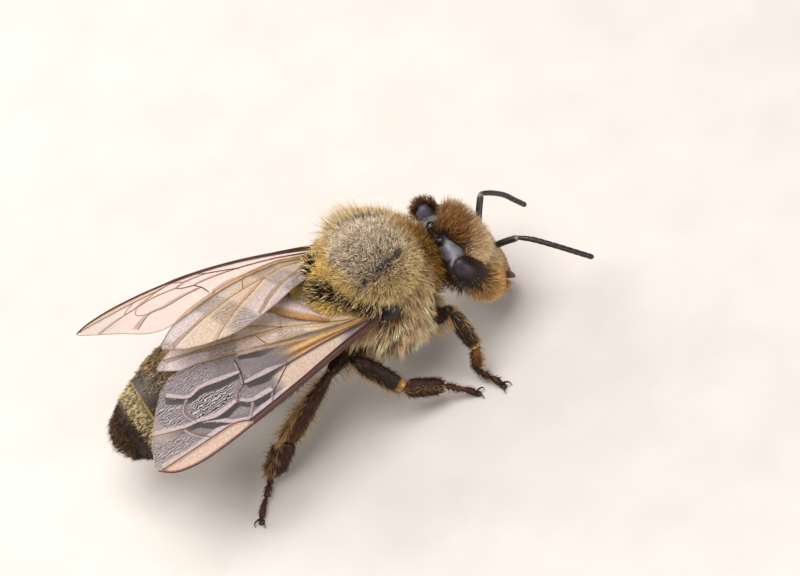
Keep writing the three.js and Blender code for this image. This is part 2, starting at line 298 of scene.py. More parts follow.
# Hair by the slot of its piece.
HAIR = {"fur": hair_material("hair", 0.5), "leg": hair_material("short_hair", 0.45)}
CUTICLE = cuticle_material("cuticle", 0.38)
LEG = cuticle_material("leg_cuticle", 0.4, grain=14.0, gloss=0.2)
ANTENNA = cuticle_material("antenna_cuticle", 0.42, grain=30.0, depth=0.004)
PLATE = cuticle_material("abdomen_plate", 0.4, grain=26.0, depth=0.005, gloss=0.35)
GLOSS = cuticle_material("glossy_cuticle", 0.26, grain=8.0, depth=0.002, gloss=0.35)
VEIN = cuticle_material("wing_vein", 0.38, grain=10.0, depth=0.004, gloss=0.25)
EYE = eye_material()
MEMBRANE = wing_material()

# ---- forms


class Form:
    """Loose arrays of a mesh in row millimetres: places, faces, tint, lie of the hair and an unwrap.

    A wing's film holds its veil, its wrinkles and each place's spot along and across the wing.
    """

    def __init__(self):
        self.parts = []

    def add(self, places, faces, tint, lie=(1, 0, 0), unwrap=(0, 0), film=(1, 0, 0, 0)):
        kinds = ((tint, 3), (lie, 3), (unwrap, 2), (film, 4))
        spread = [np.broadcast_to(np.asarray(a, float), (len(places), k)) for a, k in kinds]
        self.parts.append((places, faces, *spread))
        return self

    def arrays(self):
        columns = list(zip(*self.parts))
        self.places, self.tint, self.lie, self.unwrap, self.film = (
            np.concatenate(columns[k]) for k in (0, 2, 3, 4, 5))
        starts = np.cumsum([0] + [len(places) for places in columns[0]])
        groups = [np.asarray(g) + start for start, part in zip(starts, columns[1]) for g in part]
        self.quads, self.tris = (
            np.concatenate([g for g in groups if g.shape[1] == k] or [np.zeros((0, k), int)]) for k in (4, 3))

    def build(self, name, material, slot, replaces=(), uv=False):
        self.arrays()
        mesh = bpy.data.meshes.new(name)
        corners = np.concatenate([self.quads.ravel(), self.tris.ravel()]).astype(np.int32)
        sizes = np.repeat((4, 3), (len(self.quads), len(self.tris)))
        mesh.vertices.add(len(self.places))
        mesh.loops.add(len(corners))
        mesh.loops.foreach_set("vertex_index", corners)
        mesh.polygons.add(len(sizes))
        mesh.polygons.foreach_set("loop_start", (np.cumsum(sizes) - sizes).astype(np.int32))
        mesh.polygons.foreach_set("use_smooth", np.ones(len(sizes), bool))

        def fill(data, key, values):
            data.foreach_set(key, values.astype(np.float32).ravel())

        fill(mesh.vertices, "co", self.places * MM)
        colour = mesh.color_attributes.new("tint", "FLOAT_COLOR", "POINT")
        fill(colour.data, "color", np.pad(self.tint, ((0, 0), (0, 1)), constant_values=1))
        if np.ptp(self.film[:, 0]) > 0:
            for k, kind in enumerate(("veil", "wrinkle")):
                fill(mesh.attributes.new(kind, "FLOAT", "POINT").data, "value", self.film[:, k])
            spot = mesh.attributes.new("spot", "FLOAT_VECTOR", "POINT")
            fill(spot.data, "vector", np.pad(self.film[:, 2:], ((0, 0), (0, 1))))
        if uv:
            fill(mesh.uv_layers.new(name="OFBake").data, "uv", self.unwrap[corners])
        mesh.update(calc_edges=True)
        mesh.materials.append(material)
        piece = bpy.data.objects.new(name, mesh)
        bpy.context.collection.objects.link(piece)
        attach(piece, "root")
        if replaces:
            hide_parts(*replaces)


def grid_faces(rows, columns, closed=False):
    """Quads of a grid of rows by columns; closed joins the last column to the first."""
    i = np.arange(rows - 1)[:, None] * columns
    j = np.arange(columns if closed else columns - 1)[None, :]
    k = (j + 1) % columns
    return np.stack([i + j, i + k, i + columns + k, i + columns + j], -1).reshape(-1, 4)


def shell_faces(rows, columns):
    """Faces of a grid, of the same grid below it and of the four rims that join them."""
    outer = grid_faces(rows, columns)
    n, end = rows * columns, (rows - 1) * columns
    i = np.arange(rows - 1) * columns
    j = np.arange(columns - 1)
    rims = ((j + 1, j), (end + j, end + j + 1), (i, i + columns), (i + 2 * columns - 1, i + columns - 1))
    return [outer, outer[:, ::-1] + n, *(np.stack([a, b, n + b, n + a], 1) for a, b in rims)]


def tube_faces(rings, sides):
    """Faces of a tube whose two end corners come after its rings."""
    k = np.arange(sides)
    after, end = (k + 1) % sides, (rings - 1) * sides
    caps = [np.stack([np.full(sides, rings * sides), k, after], 1),
            np.stack([np.full(sides, rings * sides + 1), end + after, end + k], 1)]
    return [grid_faces(rings, sides, closed=True)[:, ::-1], np.concatenate(caps)]


def ring_values(values, sides):
    """One value for each ring of a tube, spread to its corners and its two end corners."""
    return np.concatenate([np.repeat(values, sides, axis=0), values[:1], values[-1:]])


def spline(knots, places):
    """Smooth curve through evenly spaced knots, at places from 0 to 1."""
    knots = np.asarray(knots, float)
    last = len(knots) - 1
    x = np.clip(np.asarray(places, float), 0, 1) * last
    i = np.minimum(x.astype(int), last - 1)
    t = x - i
    if knots.ndim > 1:
        t = t[:, None]
    a, b, c, d = (knots[np.clip(i + k, 0, last)] for k in (-1, 0, 1, 2))
    return b + 0.5 * t * (c - a + t * (2 * a - 5 * b + 4 * c - d + t * (3 * (b - c) + d - a)))


def interpolate(places, marks, rows):
    """Rows of values at places, from the rows at marks."""
    return np.stack([np.interp(places, marks, column) for column in np.asarray(rows).T], -1)


def resample(points, step):
    """A polyline rounded by a spline and cut into even steps."""
    rough = spline(points, np.linspace(0, 1, 24 * len(points)))
    along = np.concatenate([[0], np.cumsum(np.linalg.norm(np.diff(rough, axis=0), axis=1))])
    count = max(3, int(along[-1] / step) + 1)
    return interpolate(np.linspace(0, along[-1], count), along, rough)


def loft(path, wide, high, up, sides, power=1.0):
    """Places and faces of a closed tube. wide and high are its half sizes across and along up."""
    path = np.asarray(path, float)
    wide, high = (np.broadcast_to(np.asarray(half, float), (len(path),)) for half in (wide, high))
    ahead = unit(np.gradient(path, axis=0))
    across = unit(np.cross(np.broadcast_to(np.asarray(up, float), path.shape), ahead))
    over = np.cross(ahead, across)
    angle = np.linspace(0, 2 * np.pi, sides, endpoint=False)
    x, z = (np.sign(wave) * np.abs(wave) ** power for wave in (np.sin(angle), np.cos(angle)))
    rings = (path[:, None] + across[:, None] * (wide[:, None] * x)[..., None]
             + over[:, None] * (high[:, None] * z)[..., None])
    return np.concatenate([rings.reshape(-1, 3), path[:1], path[-1:]]), tube_faces(len(path), sides)


# ---- skin of head, thorax and abdomen

THORAX = [  # centre, radii
    ((0.15, 0, 0.05), (1.62, 1.70, 1.62)),  # scutum
    ((0.0, 0, -0.75), (1.45, 1.76, 1.5)),  # pleura and sternum
    ((1.45, 0, -0.5), (0.62, 0.95, 0.95)),  # collar
    ((-1.2, 0, -0.5), (0.85, 1.2, 1.1)),  # propodeum
]
SCUTELLUM = ((-1.3, 0, 0.72), (0.55, 1.0, 0.5))
HEAD = [
    ((-0.12, 0, -1.25), (0.6, 1.46, 1.25)),  # cranium
    ((0.08, 0, -1.7), (0.46, 1.05, 1.2)),  # face
    ((0.08, 0, -2.6), (0.38, 0.7, 0.72)),  # clypeus
    ((-0.2, 0.85, -2.25), (0.42, 0.5, 0.85)),  # cheeks
    ((-0.2, -0.85, -2.25), (0.42, 0.5, 0.85)),
    ((-0.4, 1.08, -1.3), (0.5, 0.5, 1.05)),  # temples
    ((-0.4, -1.08, -1.3), (0.5, 0.5, 1.05)),
]
SOCKETS = [((0.58, y, -1.95), (0.2, 0.15, 0.15)) for y in (0.33, -0.33)]
OCCIPUT = ((-1.0, 0, -1.6), (0.5, 0.75, 0.8))
NECK = ((1.6, 0, -0.75), (2.55, 0, -1.45), 0.42)
COXAE = {"fore": (0.95, 0.6, -1.85), "mid": (-0.05, 0.7, -1.95), "hind": (-1.1, 0.7, -1.65)}

ABDOMEN_AXIS = [(-1.9, 0, -0.45), (-4.0, 0, -0.2), (-6.5, 0, -0.02), (-9.85, 0, -0.02)]
ABDOMEN_RADII = [0.45, 1.45, 1.9, 2.08, 2.16, 2.16, 2.08, 1.8, 1.38, 0.9]
TIP_START = 0.88
ABDOMEN_ABOVE = 0.86
ABDOMEN_BELOW = 0.72
SEGMENT_ENDS = [0, 0.175, 0.4, 0.617, 0.8126, 0.957, 1]
ABDOMEN_COAT = 0.13

AXIS_POINTS = resample(ABDOMEN_AXIS, 0.05)
AXIS_MARKS = np.linspace(0, 1, len(AXIS_POINTS))
AXIS_SPAN = AXIS_POINTS[0, 0] - AXIS_POINTS[-1, 0]


def abdomen_axis(share):
    return interpolate(share, AXIS_MARKS, AXIS_POINTS)


def abdomen_radius(share):
    close = np.clip((np.asarray(share) - TIP_START) / (1 - TIP_START), 0, 1) ** 2.8
    radius = spline(ABDOMEN_RADII, share) - ABDOMEN_COAT * ramp(share, 0, 0.12)
    return np.maximum(radius * np.sqrt(1 - close), 0.02)


def abdomen_surface(share, angle, proud):
    """A point of the abdomen in the body frame; angle runs from the top round its left side."""
    radius = abdomen_radius(share) + proud
    height = np.where(np.cos(angle) > 0, ABDOMEN_ABOVE, ABDOMEN_BELOW)
    offset = np.stack([np.zeros_like(angle), np.sin(angle) * radius, np.cos(angle) * radius * height], -1)
    return abdomen_axis(share) + offset


def ellipsoid(points, centre, radii):
    q = points - np.asarray(centre, points.dtype)
    radii = np.asarray(radii, points.dtype)
    k0 = np.sqrt(np.square(q / radii).sum(-1))
    k1 = np.sqrt(np.square(q / radii**2).sum(-1))
    return k0 * (k0 - 1) / np.maximum(k1, 1e-5)


def capsule(points, a, b, radius):
    a, b = (np.asarray(v, points.dtype) for v in (a, b))
    t = np.clip((points - a) @ (b - a) / ((b - a) @ (b - a)), 0, 1)
    return np.sqrt(np.square(points - a - t[..., None] * (b - a)).sum(-1)) - radius


def melt(a, b, width):
    """Smooth union of two distance fields."""
    h = np.clip(0.5 + 0.5 * (b - a) / width, 0, 1)
    return b + (a - b) * h - width * h * (1 - h)


def cut(a, b, width):
    return -melt(-a, b, width)


def skin_distance(points):
    """Signed distance to the skin, in the body frame."""
    points = np.asarray(points, np.float32)
    body = ellipsoid(points, *THORAX[0])
    for lobe in THORAX[1:]:
        body = melt(body, ellipsoid(points, *lobe), 0.3)
    body = melt(body, ellipsoid(points, *SCUTELLUM), 0.08)
    for x, y, z in COXAE.values():
        for side in SIDES.values():
            body = melt(body, ellipsoid(points, (x, y * side, z), (0.42, 0.45, 0.5)), 0.15)
    local = ((points - VERTEX.astype(np.float32)) @ HEAD_TURN.astype(np.float32)).astype(np.float32)
    head = ellipsoid(local, *HEAD[0])
    for lobe in HEAD[1:]:
        head = melt(head, ellipsoid(local, *lobe), 0.22)
    head = cut(head, ellipsoid(local, *OCCIPUT), 0.2)
    for socket in SOCKETS:
        head = cut(head, ellipsoid(local, *socket), 0.06)
    whole = melt(body, capsule(points, *NECK), 0.2)
    whole = melt(whole, head, 0.12)
    share = (AXIS_POINTS[0, 0] - points[..., 0]) / AXIS_SPAN
    radius = abdomen_radius(share) - 0.07
    high = points[..., 2] - np.interp(share, AXIS_MARKS, AXIS_POINTS[:, 2])
    high = high / np.where(high > 0, ABDOMEN_ABOVE, ABDOMEN_BELOW)
    core = (np.sqrt(points[..., 1] ** 2 + high**2) - radius) * 0.75
    core = np.maximum(core, np.maximum(-share, share - 0.985) * AXIS_SPAN)
    return melt(whole, core, 0.1)


SKIN_LOW = np.array([-10.4, -2.3, -4.3])
SKIN_HIGH = np.array([4.0, 2.3, 2.0])
SKIN_CELL = 0.06
LONGEST_MOVE = 0.05
SLOPE_STEP = 0.02
OUTSIDE = 3.0


def skin_mesh():
    """The skin's quads from its distance field, with each corner drawn onto the exact surface."""
    counts = np.ceil((SKIN_HIGH - SKIN_LOW) / SKIN_CELL).astype(int)
    axes = [SKIN_LOW[k] + SKIN_CELL * np.arange(counts[k], dtype=np.float32) for k in range(3)]
    field = np.empty(counts, np.float32)
    layer = np.stack(np.meshgrid(axes[1], axes[2], indexing="ij"), -1)
    for i, x in enumerate(axes[0]):
        here = np.concatenate([np.full((*layer.shape[:2], 1), x, np.float32), layer], -1)
        field[i] = skin_distance(here)
    volume = openvdb.FloatGrid()
    volume.background = OUTSIDE
    volume.copyFromArray(field)
    places, _, quads = volume.convertToPolygons(isovalue=0.0, adaptivity=0.0)
    places = places.astype(float) * SKIN_CELL + SKIN_LOW
    for _ in range(3):
        places -= skin_normal(places) * np.clip(skin_distance(places), -LONGEST_MOVE, LONGEST_MOVE)[:, None]
    return places, [quads.astype(int)]


def skin_normal(places):
    return unit(np.stack([skin_distance(places + step) - skin_distance(places - step)
                          for step in SLOPE_STEP * np.eye(3)], -1))


# ---- markings shared by skin and coat

OCELLI = [(-0.08, 0.37, 0.03), (-0.08, -0.37, 0.03), (0.2, 0.0, -0.06)]
EYE_CENTRE = np.array([-0.16, 1.40, -1.2])
EYE_RADII = np.array([0.53, 0.445, 1.12])
EYE_TILT = pitch(-0.1)
# Painted highlight: a lavender-grey sheen over the top of each eye, brighter on the left one.
EYE_PAINTED_HIGHLIGHT = {"left": (98, 96, 107), "right": (62, 55, 62)}


def eye_reach(head, side):
    """How far out a place is from the middle of an eye, in eye radii; 1 is its surface."""
    local = (head - EYE_CENTRE * (1, side, 1)) @ EYE_TILT
    return np.linalg.norm(local / EYE_RADII, axis=1)


def vertex_bare(head):
    """The smooth ground from each side ocellus out to the eye and down the temple behind it."""
    x, y, z = head.T
    across = np.abs(y)
    front = 0.1 + 0.26 * np.clip(across - 0.35, 0, 1)
    top = fall(x, front - 0.04, front + 0.04) * ramp(across, 0.22, 0.34) * ramp(x, -0.5, -0.4)
    top = top * ramp(z, -0.8, -0.5)
    temple = ramp(across, 0.95, 1.1) * ramp(x, -0.95, -0.88) * fall(x, -0.2, -0.1) * ramp(z, -2.1, -1.8)
    between = fall(across, 0.3, 0.4) * fall(x, -0.1, -0.02) * ramp(x, -0.42, -0.34) * ramp(z, -0.5, -0.3)
    ring = np.linalg.norm(np.stack([x, across, z], -1) - (OCELLI[0]), axis=1)
    return np.maximum.reduce([top, temple, between * 0.9, fall(ring, 0.22, 0.3)])


# The bare streak and the parting along the side of the back, in the body frame, on the right side.
STREAK = np.array([(-0.35, -1.2, 1.08), (0.01, -1.2, 1.19), (0.33, -1.15, 1.23), (0.67, -1.07, 1.19),
                   (0.99, -0.93, 1.12), (1.22, -0.78, 1.02)])
GROOVE = np.array([(-1.51, -0.3, 1.16), (-1.14, -0.82, 0.97), (-0.73, -1.22, 0.76), (-0.42, -1.5, 0.54),
                   (-0.16, -1.66, 0.25)])


FAR = 9.0


def off_line(points, line):
    """Distance of points from a line through several places."""
    reach = np.full(len(points), FAR)
    for a, b in zip(line[:-1], line[1:]):
        t = np.clip((points - a) @ (b - a) / ((b - a) @ (b - a)), 0, 1)
        reach = np.minimum(reach, np.linalg.norm(points - a - t[:, None] * (b - a), axis=1))
    return reach


def mirrored(points):
    """The same points, all on the right side."""
    return np.stack([points[:, 0], -np.abs(points[:, 1]), points[:, 2]], -1)


def wavy(points):
    """The same points, mirrored to the right side and swayed, so that a line through them winds."""
    near = mirrored(points)
    return near + np.stack([0 * near[:, 0], 0 * near[:, 0], 0.09 * np.sin(near[:, 0] * 9 + near[:, 1] * 5)], -1)


def beside(points, line, inner, outer):
    """1 within inner of a line, 0 beyond outer."""
    return fall(off_line(points, line), inner, outer)


def head_share(body):
    """0 on the thorax and 1 on the head."""
    return ramp(body[:, 0], 1.9, 2.3)


def scutum_rim(x, y):
    """0 on the short-haired disc of the back, 1 beyond it."""
    return ramp(np.hypot((x - 0.32) / 1.25, y / 1.14), 0.72, 1.34)


def thorax_fur(body):
    """Root and tip colours of the thorax's hair: grey-buff above, golden behind, cream on the flanks."""
    x, y, z = body.T
    rim = scutum_rim(x, y)
    rear = ramp(-x + 0.2 * np.abs(y), 0.45, 1.0) * ramp(z, -0.8, 0.0)
    flank = ramp(-z, -0.3, 0.5)
    collar = ramp(x, 1.4, 1.8) * ramp(z, -1.4, -0.6)
    streak = beside(mirrored(body), STREAK, 0.06, 0.12)
    # Along the groove the roots and tips are darkened: painted shade in the parting.
    groove = 0.9 * beside(wavy(body), GROOVE, 0.12, 0.22)
    root = paint((48, 40, 36), ((120, 88, 46), rim * 0.7), ((150, 100, 36), rear * 0.85),
                 ((92, 52, 26), flank * 0.9), ((24, 15, 6), collar), ((76, 72, 80), streak), ((34, 26, 22), groove))
    tip = paint((220, 200, 172), ((250, 216, 158), rim * ramp(z, -0.4, 0.4)), ((255, 212, 124), rear * 0.9),
                ((255, 214, 156), flank * (1 - rear * 0.4)), ((158, 116, 52), collar), ((140, 128, 122), streak),
                ((104, 84, 60), groove))
    return root, tip


def head_fur(body):
    """Brown over the vertex, buff on the face, ochre behind the head and orange under the eyes."""
    x, y, z = body_to_head(body).T
    crown = ramp(z - 0.3 * np.abs(y) - 0.4 * np.clip(x - 0.2, 0, 1), -1.15, -0.45)
    behind = ramp(-x, 0.3, 0.55)
    cheek = ramp(np.abs(y), 0.7, 1.1) * ramp(-z, 1.7, 2.3)
    root = paint((104, 70, 38), ((36, 21, 11), crown), ((66, 36, 12), np.maximum(behind, cheek) * 0.9))
    return root, paint((244, 210, 166), ((156, 108, 64), crown), ((230, 180, 118), ramp(-z, 2.1, 2.9)),
                       ((138, 93, 38), behind), ((236, 178, 104), cheek))


def eye_fur(body):
    """Dark hairs over the top of the eye and golden ones round its lower end."""
    low = ramp(-body_to_head(body)[:, 2], 0.7, 1.1)
    return paint((50, 30, 18), ((40, 20, 10), low)), paint((130, 88, 54), ((240, 190, 118), low))


def cuticle_tint(body):
    """Shell under the coat: coloured like the roots of its hair, and with a painted lavender-grey reflection where it
    is smooth.
    """
    head = body_to_head(body)
    on_head = head_share(body)
    bare = vertex_bare(head)
    across = np.abs(head[:, 1])
    temple = ramp(-head[:, 0], 0.16, 0.34) * ramp(across, 0.84, 1.0)
    # The painted reflection lies on the smooth bare ground and starts further out on the left side than on the right.
    inner = np.where(head[:, 1] > 0, 0.58, 0.36)
    smooth = ramp(across - inner, 0, 0.14) * ramp(head[:, 2], -0.62, -0.36) * (1 - temple)
    mouth = on_head * ramp(-head[:, 2], 3.0, 3.4)
    roots = mix(thorax_fur(body)[0], head_fur(body)[0], on_head) * 0.8
    # Dark bare ground, the painted lavender-grey reflection on its smooth part, then the mouth.
    return paint(roots, ((30, 24, 24), bare * on_head), ((108, 108, 120), bare * smooth * on_head),
                 ((96, 52, 22), mouth))


# ---- coat


def scatter(form, count, weight, seed):
    """Roots spread over a form's triangles, with weight(places) as their density."""
    rng = np.random.default_rng(seed)
    form.arrays()
    tris = np.concatenate([form.quads[:, [0, 1, 2]], form.quads[:, [0, 2, 3]], form.tris])
    a, b, c = (form.places[tris[:, k]] for k in range(3))
    cross = np.cross(b - a, c - a)
    chance = np.linalg.norm(cross, axis=1) * np.clip(weight((a + b + c) / 3), 0, None)
    picked = rng.choice(len(tris), size=count, p=chance / chance.sum())
    u, v = rng.random((2, count))
    flip = u + v > 1
    u[flip], v[flip] = 1 - u[flip], 1 - v[flip]
    w = np.stack([1 - u - v, u, v], 1)[..., None]
    corners = tris[picked]
    wraps = form.unwrap[corners]
    across = wraps[:, :, 0]
    seam = np.ptp(across, axis=1) > 0.5
    wraps[:, :, 0] = np.where(seam[:, None] & (across < 0.5), across + 1, across)
    return {"root": (form.places[corners] * w).sum(1), "normal": unit(cross[picked]),
            "lie": unit((form.lie[corners] * w).sum(1)), "unwrap": (wraps * w).sum(1) % 1.0, "rng": rng}


TUFT_PATCH = 0.003
UNWRAP_EDGE = 0.004
ROOT_DEPTH = 0.03


def grow(name, roots, root_tint, tip_tint, length, radius, stand, droop=0.3, clump=0.3, jitter=0.4, wave=0.08,
         slot="fur", rings=3, lock=5, tone=0.4):
    """Solid tapered hairs. stand is how far they rise off the lie, 0 to 1.

    Every lock of hairs leans to one leader by the share clump, and differs in brightness by up to tone.
    """
    rng = roots["rng"]
    place, normal, lie = roots["root"], roots["normal"], roots["lie"]
    n = len(place)
    length = np.broadcast_to(length, (n,)) * rng.uniform(0.72, 1.15, n)
    stand = np.broadcast_to(stand, (n,))[:, None]
    flat = unit(lie - normal * (lie * normal).sum(1, keepdims=True))
    start = unit(normal * stand + flat * (1 - stand) + rng.normal(0, jitter, (n, 3)) * 0.6)
    tip = place + start * length[:, None] + flat * (length * droop)[:, None]
    tip += rng.normal(0, 1, (n, 3)) * (wave * length)[:, None]
    leaders = rng.choice(n, max(2, n // lock), replace=False)
    tree = kdtree.KDTree(len(leaders))
    for i, k in enumerate(leaders):
        tree.insert(place[k], i)
    tree.balance()
    nearest = np.array([tree.find(p)[1] for p in place])
    leader = leaders[nearest]
    share = (clump * rng.uniform(0.5, 1.2, n))[:, None]
    tip = tip * (1 - share) + (tip[leader] * 0.8 + (place + (tip - place)[leader]) * 0.2) * share
    middle = place + start * (length * 0.5)[:, None] + (tip - place - start * length[:, None]) * 0.25
    axis = unit(tip - place)
    side = unit(np.cross(axis, rng.normal(0, 1, (n, 3))))
    other = np.cross(axis, side)
    radius = np.broadcast_to(radius, (n,)) * rng.uniform(0.75, 1.2, n)
    base = place - normal * ROOT_DEPTH
    levels = [(base, 0.0, 1.0), (middle, 0.5, 0.8)]
    if rings == 3:
        levels.append((middle * 0.42 + tip * 0.58 + (middle - (place + tip) / 2) * 0.35, 0.78, 0.5))
    rows, shares = [], []
    for centre, share, width in levels:
        for k in range(3):
            angle = 2 * np.pi * k / 3
            rows.append(centre + (side * math.cos(angle) + other * math.sin(angle)) * (radius * width)[:, None])
            shares.append(share)
    places = np.stack([*rows, tip], 1).reshape(-1, 3)
    shares = np.array([*shares, 1.0])
    tones = rng.uniform(1 - tone, 1 + tone, len(leaders))[nearest]
    bright = (rng.uniform(0.82, 1.14, n) * tones)[:, None, None]
    # Each hair fades from its root tint to its tip tint; the dark roots are partly painted shade among the hairs.
    fade = ramp(shares, 0.1, 0.9)[None, :, None]
    tints = (root_tint[:, None, :] * (1 - fade) + tip_tint[:, None, :] * fade) * bright
    last = len(rows)
    pattern = []
    for a in range(last):
        b = a - a % 3 + (a + 1) % 3
        pattern += [(a, b, b + 3), (a, b + 3, a + 3)] if a < last - 3 else [(a, b, last)]
    faces = (np.arange(n)[:, None, None] * (last + 1) + np.array(pattern)[None]).reshape(-1, 3)
    spot = np.array([((k % 3) - 1) / 3 for k in range(last)] + [0.0])
    patch = np.stack([spot, shares - 0.5], -1) * TUFT_PATCH
    inner = UNWRAP_EDGE + roots["unwrap"] * (1 - 2 * UNWRAP_EDGE)
    unwrap = (inner[:, None, :] + patch[None]).reshape(-1, 2)
    form = Form().add(places, [faces], np.clip(tints, 0, 1).reshape(-1, 3), unwrap=unwrap)
    form.build(f"coat_{name}", HAIR[slot], slot, uv=True)


def hairs(count):
    return int(count * (1))


def coat(name, form, count, density, seed, tints=thorax_fur, pale=None, **shape):
    """A coat piece of hairs over a form, with tints(places) at their roots and tips.

    Places are in the body frame. seed starts the piece's own random draws. pale is a share of lighter tips and
    their colour. A value in shape may be a function of places too.
    """
    roots = scatter(form, hairs(count), lambda places: density(row_to_body(places)) * 1.0, seed)
    body = row_to_body(roots["root"])
    root_tint, tip_tint = (np.broadcast_to(tint, body.shape) for tint in tints(body))
    if pale:
        tip_tint = paint(tip_tint, (pale[1], roots["rng"].random(len(body)) < pale[0]))
    shape = {key: value(body) if callable(value) else value for key, value in shape.items()}
    grow(name, roots, root_tint, tip_tint, **shape)


# ---- make the skin


def skin_lie(body):
    """Which way the coat lies: back over the thorax and abdomen, outward and down over the head."""
    head = body_to_head(body)
    out = unit(head - np.array([-0.3, 0, -1.1])) @ HEAD_TURN.T
    brow = ramp(head[:, 2], -1.0, -0.4)[:, None]
    face = out - HEAD_TURN[:, 2] * 0.35 + HEAD_TURN[:, 0] * (0.5 + brow)
    trunk = np.array([-1.0, 0, 0]) + np.array([0, 0, -1.1]) * ramp(-body[:, 2], -0.4, 0.8)[:, None]
    return unit(mix(trunk, face, head_share(body)))


def skin_unwrap(body):
    """Half of the square for the head, round its own middle, and half for the rest."""
    on_head = body[:, 0] > 2.1
    head = body_to_head(body) - (0, 0, -1.5)
    u_head = np.arctan2(head[:, 1], head[:, 0]) / (2 * np.pi) + 0.5
    v_head = np.arccos(np.clip(unit(head)[:, 2], -1, 1)) / np.pi
    u = np.arctan2(body[:, 1], body[:, 2] + 0.3) / (2 * np.pi) + 0.5
    v = np.clip((body[:, 0] + 2.4) / 4.6, 0, 1)
    return np.stack([np.where(on_head, u_head, u), np.where(on_head, v_head, v)], -1)


skin_places, skin_faces = skin_mesh()
skin = Form().add(body_to_row(skin_places), skin_faces, cuticle_tint(skin_places),
                  skin_lie(skin_places) @ BODY_TURN.T, skin_unwrap(skin_places))
skin.build("skin", CUTICLE, "cuticle", ["thorax", "head", *(f"abdomen_segment_{i}" for i in range(1, 7))])

# ---- eyes, ocelli, mouth


def ball(centre, radii, rows, columns, bulge=None):
    """Places and faces of a closed ellipsoid with two pole corners."""
    polar = np.linspace(0, np.pi, rows + 1)[1:-1, None]
    turn = np.linspace(0, 2 * np.pi, columns, endpoint=False)[None]
    sphere = np.stack([np.sin(polar) * np.cos(turn), np.sin(polar) * np.sin(turn),
                       np.broadcast_to(np.cos(polar), (rows - 1, columns))], -1).reshape(-1, 3)
    sphere = np.concatenate([sphere, [[0, 0, 1], [0, 0, -1]]])
    if bulge is not None:
        sphere = bulge(sphere)
    return sphere * radii + centre, tube_faces(rows - 1, columns)


def in_body_frame(places, faces):
    return body_to_row(places), faces


def in_head_frame(places, faces):
    return body_to_row(head_to_body(places)), faces


def kidney(sphere):
    """The eye is flatter in front, and its inner rim is notched a little."""
    x, y, z = sphere.T
    return np.stack([x * (1 - 0.1 * (x > 0)) - 0.12 * (z**2 - 0.5), y, z * (1 + 0.04 * x)], -1)


eyes = {}
for name, side in SIDES.items():
    places, faces = ball((0, 0, 0), EYE_RADII, 48, 64, kidney)
    outward = unit(places * (1, 0.35, 1) + (0, 0, -0.25))
    places = places @ EYE_TILT.T + EYE_CENTRE * (1, side, 1)
    wrap = np.stack([np.arctan2(outward[:, 0], outward[:, 2]) / (2 * np.pi) + 0.5, (outward[:, 1] + 1) / 2], -1)
    # The eye's top and hind part carry a painted highlight.
    painted_highlight = ramp(places[:, 2], -0.85, -0.2) * fall(places[:, 0], -0.1, 0.3)
    shade = paint((88, 38, 18), ((32, 16, 12), ramp(places[:, 2], -1.9, -0.9)), (EYE_PAINTED_HIGHLIGHT[name], painted_highlight))
    eyes[name] = Form().add(*in_head_frame(places, faces), shade, outward @ HEAD_TURN.T @ BODY_TURN.T, wrap)
    eyes[name].build(f"compound_eye_{name}", EYE, "eye", [f"eye_{name}"])

RIM_RADIUS, RIM_HEIGHT, RIM_HALF = 0.118, 0.08, 0.042
ocelli, rims = Form(), Form()
turn = np.linspace(0, 2 * np.pi, 28)
for centre in OCELLI:
    ocelli.add(*in_head_frame(*ball(centre, (0.12, 0.12, 0.09), 16, 24)), linear((96, 84, 92)))
    ring = np.stack([RIM_RADIUS * np.cos(turn), RIM_RADIUS * np.sin(turn), 0 * turn + RIM_HEIGHT], -1) + centre
    rims.add(*in_head_frame(*loft(ring, RIM_HALF, RIM_HALF, (0, 0, 1), 8)), linear((16, 12, 12)))
ocelli.build("ocelli", GLOSS, "eye")
rims.build("ocelli_rims", LEG, "cuticle")

lip = ball((0.2, 0, -3.45), (0.11, 0.42, 0.24), 16, 24)
clypeus_rim = ball((0.34, 0, -3.12), (0.08, 0.42, 0.08), 12, 24)
tongue = loft(resample([(0.0, 0, -3.3), (-0.1, 0, -3.6), (-0.35, 0, -3.65), (-0.7, 0, -3.2), (-0.75, 0, -2.6)], 0.05),
              0.12, 0.1, (0, 1, 0), 10)
mouth = Form()
for shape, rgb in ((lip, (88, 52, 26)), (clypeus_rim, (70, 40, 20)), (tongue, (110, 62, 28))):
    mouth.add(*in_head_frame(*shape), linear(rgb))
mouth.build("labrum_and_tongue", GLOSS, "cuticle")

JAW_SIDES = 12
for name, side in SIDES.items():
    blade = resample([(0.05, 0.66 * side, -2.85), (0.2, 0.64 * side, -3.2), (0.2, 0.44 * side, -3.5),
                      (0.08, 0.12 * side, -3.68)], 0.03)
    t = np.linspace(0, 1, len(blade))
    wide = 0.16 + 0.06 * np.sin(np.pi * t**1.6) - 0.05 * ramp(t, 0.9, 1.0)
    shade = paint((64, 34, 15), ((112, 62, 26), ring_values(t, JAW_SIDES)))
    jaw = in_head_frame(*loft(blade, wide, 0.12 - 0.07 * t, (1, 0, 0.2), JAW_SIDES))
    Form().add(*jaw, shade).build(f"jaw_{name}", LEG, "cuticle", [f"mandible_{name}"])

# ---- antennae

ANTENNAE = {
    "left": ([3.75, 0.35, -1.9], [4.6, 1.06, -1.0], [5.22, 1.4, -2.1], [5.66, 1.58, -3.4]),
    "right": ([3.75, -0.35, -1.9], [4.8, -0.94, -1.56], [5.62, -1.68, -2.0], [6.5, -2.32, -2.92]),
}
FLAGELLUM_JOINTS = 10
ANTENNA_SIDES = 14
ANTENNA_TINT = linear((30, 24, 22))
JOINT_TINT = linear((150, 128, 112))


def ring_tints(path, shares, tints, sides):
    """A tube's tints, from those at some shares of its path."""
    return ring_values(interpolate(path, shares, tints), sides)


